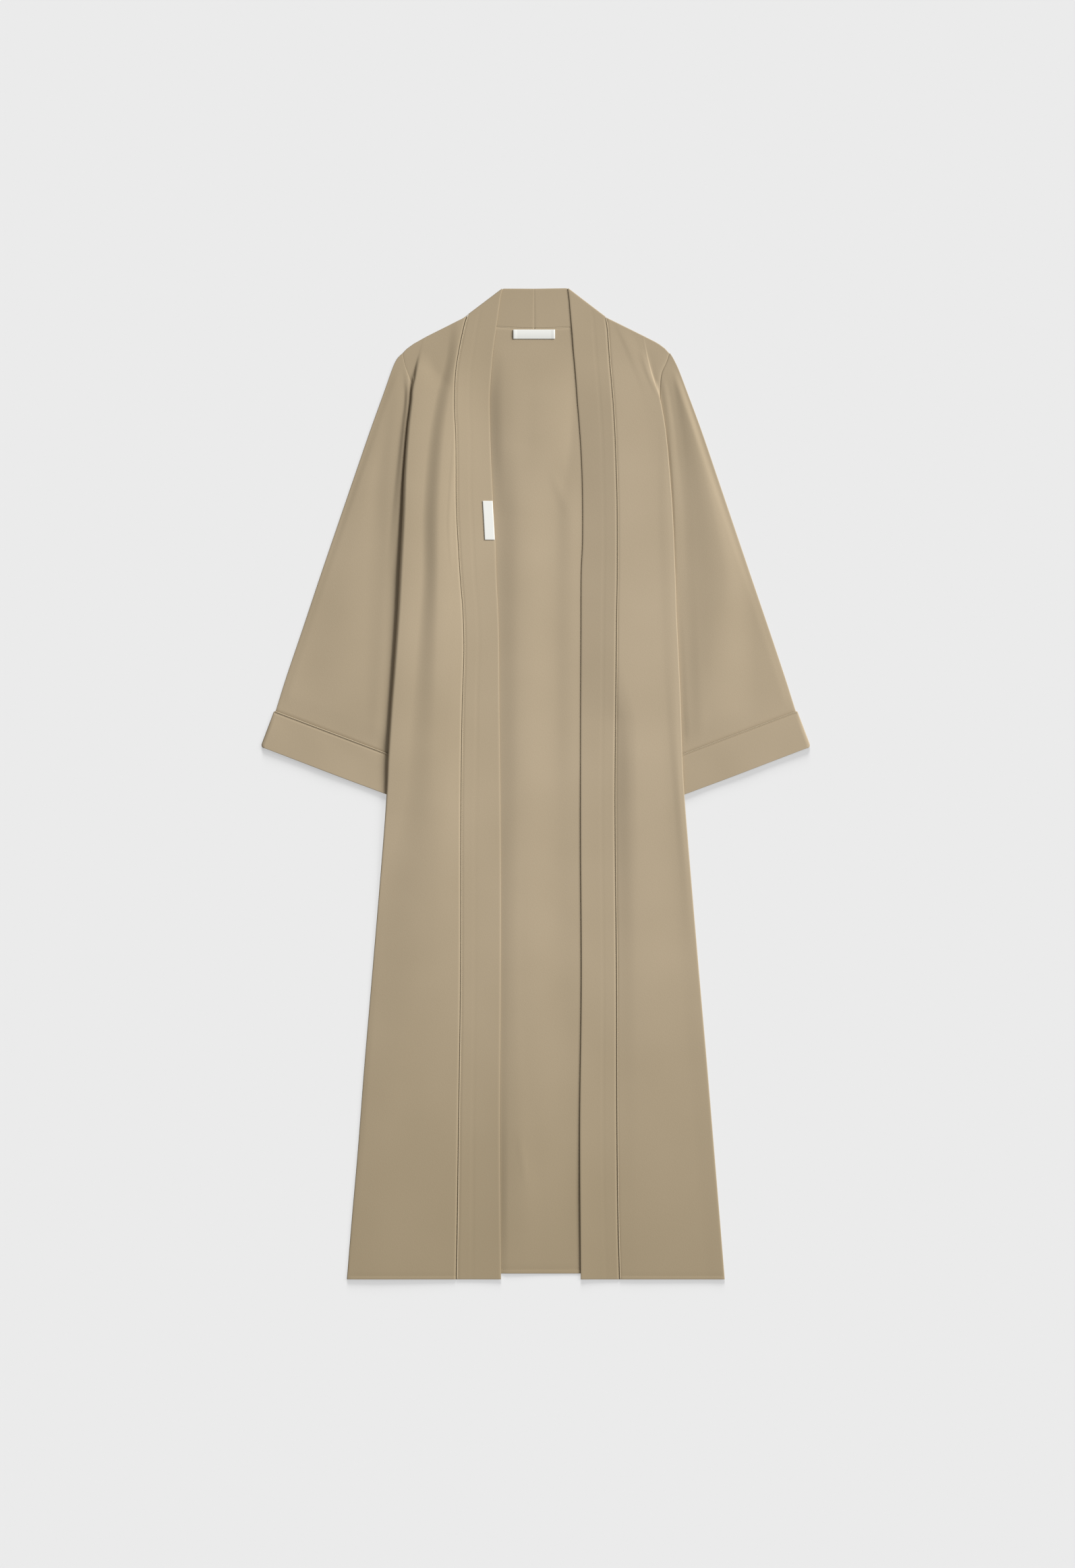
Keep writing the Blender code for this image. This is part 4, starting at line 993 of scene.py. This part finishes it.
def bandGrid(side):
    shares = bandShares()
    topDrop = float(pipingDrop(side, *band["topRow"]))
    drops = np.concatenate([
        np.array(hemRows(length, (front["hemDepth"],), band["wall"]))[::-1],
        np.arange(length - 12, topDrop + 2, -band["step"]), [topDrop],
    ])
    turned = np.maximum(band["turnStart"] - drops, 0.0) / (band["turnStart"] - band["topRow"][0])
    innerDrops = drops - band["turn"] * turned**1.5
    frontRows = bandPlace(side, shares[None, :], innerDrops[:, None], drops[:, None])
    top, neck, run, outward = collarFrame(side)
    neckEnd = neck - run * (piping["radius"] + 4 * cloth["seamGap"])
    upper, lower = collarLevels()
    setBack = (upper - lower) / 2 + band["wall"] / 2
    keyRows = []
    for reach, height in foldArc(upper, lower, band["foldSteps"]):
        plan = top + (neckEnd - top) * shares[:, None] + outward * (reach - setBack)
        keyRows.append(place(side, plan[:, 0], plan[:, 1], height))
    topEnd, neckStart = top - outward * setBack, neckEnd - outward * setBack
    centre = centreOut(side)
    cornerTop = topEnd[1] - band["cornerRise"]
    count = int((neckStart[0] - centre) / band["backStep"])
    for step in np.linspace(0, 1, count)[1:]:
        neckOut = neckStart[0] + (centre - neckStart[0]) * step
        risen = topEnd[1] + (cornerTop - topEnd[1]) * smooth(step * band["cornerOver"])
        topPlace = np.array([
            topEnd[0] + (centre - topEnd[0]) * step,
            risen + (band["centreDrop"] - cornerTop) * step,
        ])
        seamDrop = straight(outline["neckSeam"], neckOut) - band["neckClear"]
        joined = smooth(step * band["joinOver"])   # from the fold's end on to the neck seam
        neckPlace = np.array([neckOut, neckStart[1] + (seamDrop - neckStart[1]) * joined])
        plan = topPlace + (neckPlace - topPlace) * shares[:, None]
        keyRows.append(place(side, plan[:, 0], plan[:, 1], lower))
    between = [frontRows[-1] + (keyRows[0] - frontRows[-1]) * s for s in (0.25, 0.5, 0.75)]
    return np.concatenate([frontRows, np.array(between), np.array(keyRows)])


def makeBand(side):
    piece = addShell(f"band{side.title()}", bandGrid(side), band["wall"], doubledCrepe[side], rim=5)
    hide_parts(f"band_{side}")
    drops = np.arange(length - 3, 66, -3.0)
    inner = curved(outline["bandEdge"], drops, columnOf[side])
    outer = curved(outline["pipingLine"], drops, columnOf[side]) - piping["radius"] - cloth["seamGap"]
    share = 1.0 - band["stitchInset"] / (outer - inner)
    line = bandPlace(side, share, drops, drops)
    line[:, 2] += band["wall"] / 2
    addStitches(f"bandStitches{side.title()}", [line])


def makeBandPiping(side):
    topDrop = float(pipingDrop(side, *band["topRow"]))
    drops = np.concatenate([np.arange(length, topDrop + 1, -piping["step"]), [topDrop]])
    ups = bandBase(drops) + pipingLift(side, drops) + straight(piping["proud"], drops, columnOf[side])
    path = place(side, curved(outline["pipingLine"], drops, columnOf[side]), drops, ups)
    top, neck, run, outward = collarFrame(side)
    upper, lower = collarLevels()
    setBack = (upper - lower) / 2 + piping["radius"]
    overFold = [
        place(side, *(neck + outward * (reach - setBack)), height)
        for reach, height in foldArc(upper, lower, piping["overFold"])
    ]
    roundNeck = [
        place(side, out, straight(outline["neckSeam"], out), lower - band["neckSunk"])
        for out in (*piping["neckOuts"], centreOut(side) - piping["pastCentre"])
    ]
    bend = rounded(np.array([path[-1], *overFold, roundNeck[0]]), 1)
    path = np.concatenate([path[:-1], bend, evenPath(np.array(roundNeck), piping["step"])[1:]])
    name = f"frontPiping{side.title()}"
    piece = addCord(name, path, piping["radius"], wrappedCord, around=piping["around"])
    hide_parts(f"band_piping_{side}")


for side in signOf:
    makeBand(side)
    makeBandPiping(side)
print("bands, collar and their piping made")


# Sleeves and cuffs, flattened tubes

sleeve = {
    "folds": {              # drop, crest, height, width inwards, width outwards
        "right": {
            "longRise": (
                (200, 225, 0.0, 10, 12), (300, 255, 0.8, 24, 30), (430, 272, 1.2, 50, 50),
                (560, 290, 1.2, 60, 60), (640, 300, 0.0, 60, 60),
            ),
        },
        "left": {
            "outerSwell": (
                (116, 206, 0.0, 8, 8), (135, 212, 0.9, 10, 8), (150, 217, 1.4, 13, 8),
                (165, 221, 1.6, 16, 9), (200, 230, 1.8, 21, 12), (230, 237, 1.9, 24, 15),
                (330, 261, 2.6, 42, 25), (430, 278, 3.2, 58, 40), (540, 266, 3.2, 50, 60),
                (640, 256, 1.6, 38, 70), (700, 256, 0.0, 38, 60),
            ),
        },
    },
    "ridges": {             # close beside the body's edge, in the same terms
        "right": {
            "besideBody": (
                (150, 190, 0.0, 6, 24), (210, 196, 1.1, 6, 34), (330, 203, 1.5, 6, 42),
                (480, 211, 1.4, 6, 42), (600, 220, 1.2, 7, 34), (690, 226, 0.0, 8, 30),
            ),
            "fromArmhole": (
                (112, 195, 0.0, 6, 6), (135, 190, 1.0, 6, 6), (165, 189, 2.4, 5, 6),
                (200, 192, 2.6, 5, 7), (240, 196, 2.5, 5, 8), (320, 203, 1.6, 6, 10),
                (430, 211, 0.0, 6, 12),
            ),
        },
        "left": {
            "besideEdge": (
                (130, 189, 0.0, 6, 6), (150, 191, 0.6, 7, 8), (183, 196, 0.8, 9, 8),
                (209, 199, 0.8, 9, 9), (240, 201, 0.9, 6, 11), (280, 204, 0.9, 5, 13),
                (330, 206, 0.8, 3, 16), (400, 208, 0.5, 2, 17), (460, 210, 0.0, 2, 17),
            ),
            "lowEdge": (
                (460, 217, 0.0, 7, 36), (540, 222, 0.5, 8, 36), (640, 226, 1.0, 8, 36),
                (700, 229, 0.6, 8, 30), (740, 231, 0.0, 8, 30),
            ),
        },
    },
    "fromBody": {"right": (1.0, 24.0), "left": (1.0, 30.0)},   # where the crown starts, over what
    "seamClear": 0.25, "cuffInset": 2.6,
    "armholeBunch": 1.6, "foldPull": 12, "rowBunch": 1.1,   # powers that draw rows to the armhole
    "closeRows": (0.0, 0.0012, 0.0026),
    "outerClear": 1.0, "outerOver": 12.0,   # beside the outer fold the folds die out
    "liftFrom": 108, "liftOver": 40, "cuffLine": (388, 0.378),   # out of the cuff's corner, its slope
    "crown": 0.8, "rowsAlong": 120, "across": 60, "underAcross": 30, "foldSteps": 6,
}
cuff = {
    "tilt": 20.7, "corner": (388.3, 628.0), "width": 246.0, "depth": 55.0,
    "rounding": 5.0, "wall": 1.6, "layerGap": 0.4, "across": 60, "rows": 26, "foldSteps": 6,
    "stitchInset": 1.1, "stitchWidth": 1.3, "stitchDepth": 0.4, "stitchSunk": 0.3, "stitchEnds": 3,
    "cornerFrom": 0.91, "cornerShare": 0.7,
    "soft": 0.35, "softLengths": (23.0, 41.0),   # of the slow waves along it
}


def cuffPlace(along, depth):   # along it from its outer edge, and down it
    tilt = math.radians(cuff["tilt"])
    out = cuff["corner"][0] - along * math.cos(tilt) + depth * math.sin(tilt)
    drop = cuff["corner"][1] + along * math.sin(tilt) + depth * math.cos(tilt)
    return np.stack(np.broadcast_arrays(out, drop), axis=-1)


def armholePlace(side, share):
    depth = cloth["armpitDrop"] - cloth["shoulderEndDrop"]
    drop = cloth["shoulderEndDrop"] + share ** sleeve["armholeBunch"] * depth
    out = np.interp(drop, *armholeLine[side]) + sleeve["seamClear"]
    return np.stack(np.broadcast_arrays(out, drop), axis=-1)


def sleevePlace(side, across, along):   # across from the outer fold, along from the armhole
    cuffEnd = -2 * (piping["radius"] + cloth["seamGap"])
    inset = sleeve["cuffInset"]
    outerEnd, innerEnd = cuffPlace(inset, cuffEnd), cuffPlace(cuff["width"] - inset, cuffEnd)
    across, along = np.broadcast_arrays(across, along)
    a, s = across[..., None], along[..., None]
    drop = cloth["shoulderEndDrop"] + along * (outerEnd[1] - cloth["shoulderEndDrop"])
    outer = np.stack([curved(outline["sleeveFold"], drop, columnOf[side]), drop], axis=-1)
    shoulder, armpit = armholePlace(side, 0.0), armholePlace(side, 1.0)
    cuffLine = outerEnd + (innerEnd - outerEnd) * a
    corners = (shoulder + (armpit - shoulder) * a) * (1 - s) + cuffLine * s
    foldStart = np.array([float(curved(outline["sleeveFold"], shoulder[1], columnOf[side])), shoulder[1]])
    outer = outer + (shoulder - foldStart) * (1 - s) ** sleeve["foldPull"]
    inner = armpit + (innerEnd - armpit) * s
    return armholePlace(side, across) * (1 - s) + cuffLine * s + outer * (1 - a) + inner * a - corners


def sleeveLift(side, plan):
    out, drop = plan[..., 0], plan[..., 1]
    clear, over = sleeve["fromBody"][side]
    inner = smooth((out - edgeOut(side, drop) - clear) / over)
    toFold = curved(outline["sleeveFold"], drop, columnOf[side]) - out
    outer = smooth((toFold - sleeve["outerClear"]) / sleeve["outerOver"])
    cornerOut, cuffSlope = sleeve["cuffLine"]
    cuffAway = cuffPlace(0, 0)[1] - drop + (cornerOut - out) * cuffSlope
    fromTop = smooth((drop - sleeve["liftFrom"]) / sleeve["liftOver"])
    ends = fromTop * smooth(cuffAway / sleeve["liftOver"])
    swell = (sleeve["crown"] + foldHeight(sleeve["folds"][side], out, drop)) * inner
    return (swell + foldHeight(sleeve["ridges"][side], out, drop)) * outer * ends


def flatTube(width, steps, underSteps, low, high, wall, foldSteps):
    # Shares of the width and heights round a flattened tube, over its top and back below
    radius, centre = (high - low) / 2, (high + low) / 2
    reach = radius + wall / 2
    flatTop = np.linspace(reach, width - reach, steps)
    flatUnder = np.linspace(width - reach, reach, underSteps)
    angles = np.linspace(0, math.pi, foldSteps + 2)[1:-1]
    bendOut, bendUp = radius * np.sin(angles), radius * np.cos(angles)
    spots = np.concatenate([flatTop, width - reach + bendOut, flatUnder, reach - bendOut])
    ups = np.concatenate([
        np.full(steps, high), centre + bendUp, np.full(underSteps, low), centre - bendUp,
    ])
    isTop = np.concatenate([np.ones(steps), np.zeros(len(spots) - steps)])
    return spots / width, ups, isTop


def makeSleeve(side):
    rows = []
    alongs = np.linspace(0, 1, sleeve["rowsAlong"]) ** sleeve["rowBunch"]
    alongs = np.concatenate([sleeve["closeRows"], alongs[1:]])
    for along in alongs:
        ends = sleevePlace(side, 0.0, along), sleevePlace(side, 1.0, along)
        width = np.linalg.norm(ends[1] - ends[0])
        shares, ups, isTop = flatTube(
            width, sleeve["across"], sleeve["underAcross"], cloth["lowWall"], cloth["highWall"],
            cloth["wall"], sleeve["foldSteps"],
        )
        plan = sleevePlace(side, shares, along)
        fromSeam = np.linalg.norm(plan - sleevePlace(side, shares, 0.0), axis=-1)
        groove = cloth["seamDip"][side] * (1.0 - smooth(fromSeam / cloth["seamSide"]))
        rows.append(place(side, plan[:, 0], plan[:, 1], ups + (sleeveLift(side, plan) - groove) * isTop))
    grain = cuff["tilt"] * signOf[side]
    piece = addShell(
        f"sleeve{side.title()}", np.array(rows), cloth["wall"], sleeveCrepe[side], True, grain,
    )
    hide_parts(f"sleeve_{side}")


def makeCuff(side):
    low, high = cuff["wall"] / 2, cuff["wall"] * 1.5 + cuff["layerGap"]
    rows = []
    depths = np.concatenate([
        [0.0, 0.01, 0.02, 0.03], np.linspace(0.04, 0.91, cuff["rows"]), [0.93, 0.95, 0.97, 0.985, 1.0],
    ])
    for share in depths:
        corner = np.clip((share - cuff["cornerFrom"]) / 0.09, 0, 1)
        inset = cuff["rounding"] * (1 - math.sqrt(max(1 - corner**2, 0.0))) * cuff["cornerShare"]
        width = cuff["width"] - 2 * inset
        shares, ups, isTop = flatTube(
            width, cuff["across"], cuff["across"] // 2, low, high, cuff["wall"], cuff["foldSteps"],
        )
        plan = cuffPlace(inset + shares * width, share * cuff["depth"])
        fromStitch = abs(share * cuff["depth"] - cuff["stitchInset"]) / cuff["stitchWidth"]
        pulled = -cuff["stitchDepth"] * math.cos(math.pi / 2 * np.minimum(fromStitch, 1.0)) ** 2
        short, long = (plan[:, 0] / wave for wave in cuff["softLengths"])
        soft = cuff["soft"] * np.sin(short) * np.sin(long + 1.0) * smooth(share * 3)
        rows.append(place(side, plan[:, 0], plan[:, 1], ups + (pulled + soft * smooth(share * 2)) * isTop))
    grain = cuff["tilt"] * signOf[side]
    piece = addShell(
        f"cuff{side.title()}", np.array(rows), cuff["wall"], doubledCrepe[side], True, grain, rim=5,
    )
    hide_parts(f"cuff_{side}")
    along = np.linspace(cuff["stitchEnds"], cuff["width"] - cuff["stitchEnds"], 100)
    plan = cuffPlace(along, cuff["stitchInset"])
    line = place(side, plan[:, 0], plan[:, 1], high + cuff["wall"] / 2 - cuff["stitchSunk"])
    addStitches(f"cuffStitches{side.title()}", [line], fineThread)


def makeCuffPiping(side):
    radius = piping["radius"]
    low, high = radius, radius + piping["cuffRise"]
    points = piping["cuffPoints"]
    bend, centre = (high - low) / 2, (high + low) / 2
    start = piping["cuffInset"] + radius + bend
    end = cuff["width"] - start
    angles = np.linspace(0, math.pi, piping["cuffTurn"])[1:-1]
    run = np.linspace(start, end, points)
    along = np.concatenate([run, end + bend * np.sin(angles), run[::-1], start - bend * np.sin(angles)])
    ups = np.concatenate([
        np.full(points, high), centre + bend * np.cos(angles), np.full(points, low),
        centre - bend * np.cos(angles),
    ])
    plan = cuffPlace(along, -radius - cloth["seamGap"])
    path = place(side, plan[:, 0], plan[:, 1], ups)
    piece = addCord(f"cuffPiping{side.title()}", path, radius, wrappedCord, True, piping["around"])
    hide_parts(f"cuff_piping_{side}")


for side in signOf:
    makeSleeve(side)
    makeCuff(side)
    makeCuffPiping(side)
print("sleeves and cuffs made")


# Woven labels, left bare

label = {
    "wall": 0.8, "clear": 0.5, "neckFrom": (-33.0, 62.0), "neckTo": (28.4, 75.2),
    "bow": 0.5,             # of the neck label between its long edges
    "foldedEnd": 3.5, "foldedOver": 0.8, "foldedUp": 0.25,
    "sideDrops": (316.0, 373.0), "sideInset": 0.5, "sideWidth": 14.0,
}


def makeNeckLabel():
    (left, top), (right, bottom) = label["neckFrom"], label["neckTo"]
    x, drop = np.meshgrid(np.linspace(left, right, 40), np.linspace(top, bottom, 12))
    above = cloth["wall"] / 2 + label["clear"] + label["wall"] / 2
    bow = label["bow"] * np.sin(math.pi * (drop - top) / (bottom - top))
    ends = np.minimum(x - left, right - x)
    flatPart = smooth((ends - label["foldedEnd"]) / label["foldedOver"])
    ups = backHeight(x, drop) + above + bow + label["foldedUp"] * (1 - flatPart)
    middle = np.stack([x, length / 2 - drop, ups], axis=-1)
    piece = addShell("neckLabel", middle, label["wall"], labelRibbon)
    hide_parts("neck_label")


def makeSideLabel():
    drops = np.linspace(*label["sideDrops"], 40)[:, None]
    inner = curved(outline["bandEdge"], drops)
    width = curved(outline["pipingLine"], drops) - piping["radius"] - cloth["seamGap"] - inner
    offsets = label["sideInset"] + label["sideWidth"] * np.linspace(0, 1, 12)
    middle = bandPlace("right", offsets / width, drops, drops)
    middle[..., 2] += band["wall"] / 2 + label["clear"] + label["wall"] / 2
    piece = addShell("sideLabel", middle, label["wall"], labelRibbon, grain=90.0)
    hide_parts("side_label")


makeNeckLabel()
makeSideLabel()
print("labels made")


# Floor, light and camera

studio = {
    "floor": "#EBEBEB", "floorSize": 12.0,
    "floorGlow": 0.6,       # share of the floor's brightness that it gives off itself: painted light that keeps its shadows faint
    "rakeElevation": math.radians(16), "rakeSoftness": math.radians(20),
    "rake": 1.5,            # light of the low strip light on the table, against all the rest
    "keyElevation": math.radians(32), "keyAzimuth": math.radians(30), "keySoftness": math.radians(34),
    "keyShare": 0.72,       # of the light on the floor, the rest comes from all round
    "cameraHeight": 6.456, "cameraAt": (0.0027, -0.0005), "lens": 100.0, "sensor": 36.0,
}


def makeFloor():
    # An even pale grey floor, matt, which gives off light of its own: painted light that keeps the shadows
    # on it faint
    material, tree = newMaterial("pale floor, glowing")
    spot = addNode(tree, "ShaderNodeTexCoord").outputs["Object"]
    fine = addNode(tree, "ShaderNodeTexNoise", {"Scale": 400.0, "Detail": 1.0}, {"Vector": spot})
    relief = addNode(
        tree, "ShaderNodeBump", {"Strength": 0.2, "Distance": 0.02 * mm},
        {"Height": fine.outputs["Fac"]},
    )
    colour = linear(studio["floor"])
    lit = tuple(part * (1.0 - studio["floorGlow"]) / (1.0 + studio["rake"]) for part in colour[:3])
    shader = addNode(
        tree, "ShaderNodeBsdfPrincipled",
        {
            "Base Color": (*lit, 1.0), "Roughness": 1.0, "Specular IOR Level": 0.0,
            "Emission Color": colour, "Emission Strength": studio["floorGlow"],
        },
        {"Normal": relief.outputs["Normal"]},
    )
    addNode(tree, "ShaderNodeOutputMaterial", {}, {"Surface": shader.outputs["BSDF"]})
    mesh = bpy.data.meshes.new("floor")
    half = studio["floorSize"] / 2
    corners = [(-half, -half, 0), (half, -half, 0), (half, half, 0), (-half, half, 0)]
    mesh.from_pydata(corners, [], [(0, 1, 2, 3)])
    mesh.materials.append(material)
    floor = bpy.data.objects.new("floor", mesh)
    bpy.context.scene.collection.objects.link(floor)
    return floor


def makeRake(floor):   # a low strip light behind the collar, shaded so that it lights the table only
    sun = bpy.data.lights.new("strip light", "SUN")
    sun.energy = studio["rake"] * math.pi / math.sin(studio["rakeElevation"])
    sun.angle = studio["rakeSoftness"]
    strip = bpy.data.objects.new("strip light", sun)
    strip.rotation_euler = (studio["rakeElevation"] - math.pi / 2, 0.0, 0.0)
    bpy.context.scene.collection.objects.link(strip)
    table = bpy.data.collections.new("table")
    table.objects.link(floor)
    strip.light_linking.receiver_collection = table


def makeLight():
    sun = bpy.data.lights.new("softbox", "SUN")
    elevation, azimuth = studio["keyElevation"], studio["keyAzimuth"]
    sun.energy = studio["keyShare"] * math.pi / math.sin(elevation)
    sun.angle = studio["keySoftness"]
    key = bpy.data.objects.new("softbox", sun)
    key.rotation_euler = (0.0, math.pi / 2 - elevation, azimuth)
    bpy.context.scene.collection.objects.link(key)
    world = bpy.data.worlds.new("studio")
    world.use_nodes = True
    background = world.node_tree.nodes["Background"]
    background.inputs["Color"].default_value = (1.0, 1.0, 1.0, 1.0)
    background.inputs["Strength"].default_value = 1.0 - studio["keyShare"]
    bpy.context.scene.world = world


def makeCamera():
    lens = bpy.data.cameras.new("camera")
    lens.lens = studio["lens"]
    lens.sensor_fit = "VERTICAL"
    lens.sensor_height = studio["sensor"]
    camera = bpy.data.objects.new("camera", lens)
    camera.location = (*studio["cameraAt"], studio["cameraHeight"])
    bpy.context.scene.collection.objects.link(camera)
    bpy.context.scene.camera = camera


makeRake(makeFloor())
makeLight()
makeCamera()
bpy.context.scene.view_settings.view_transform = "Standard"
bpy.context.scene.view_settings.look = "None"
print("floor, light and camera made")
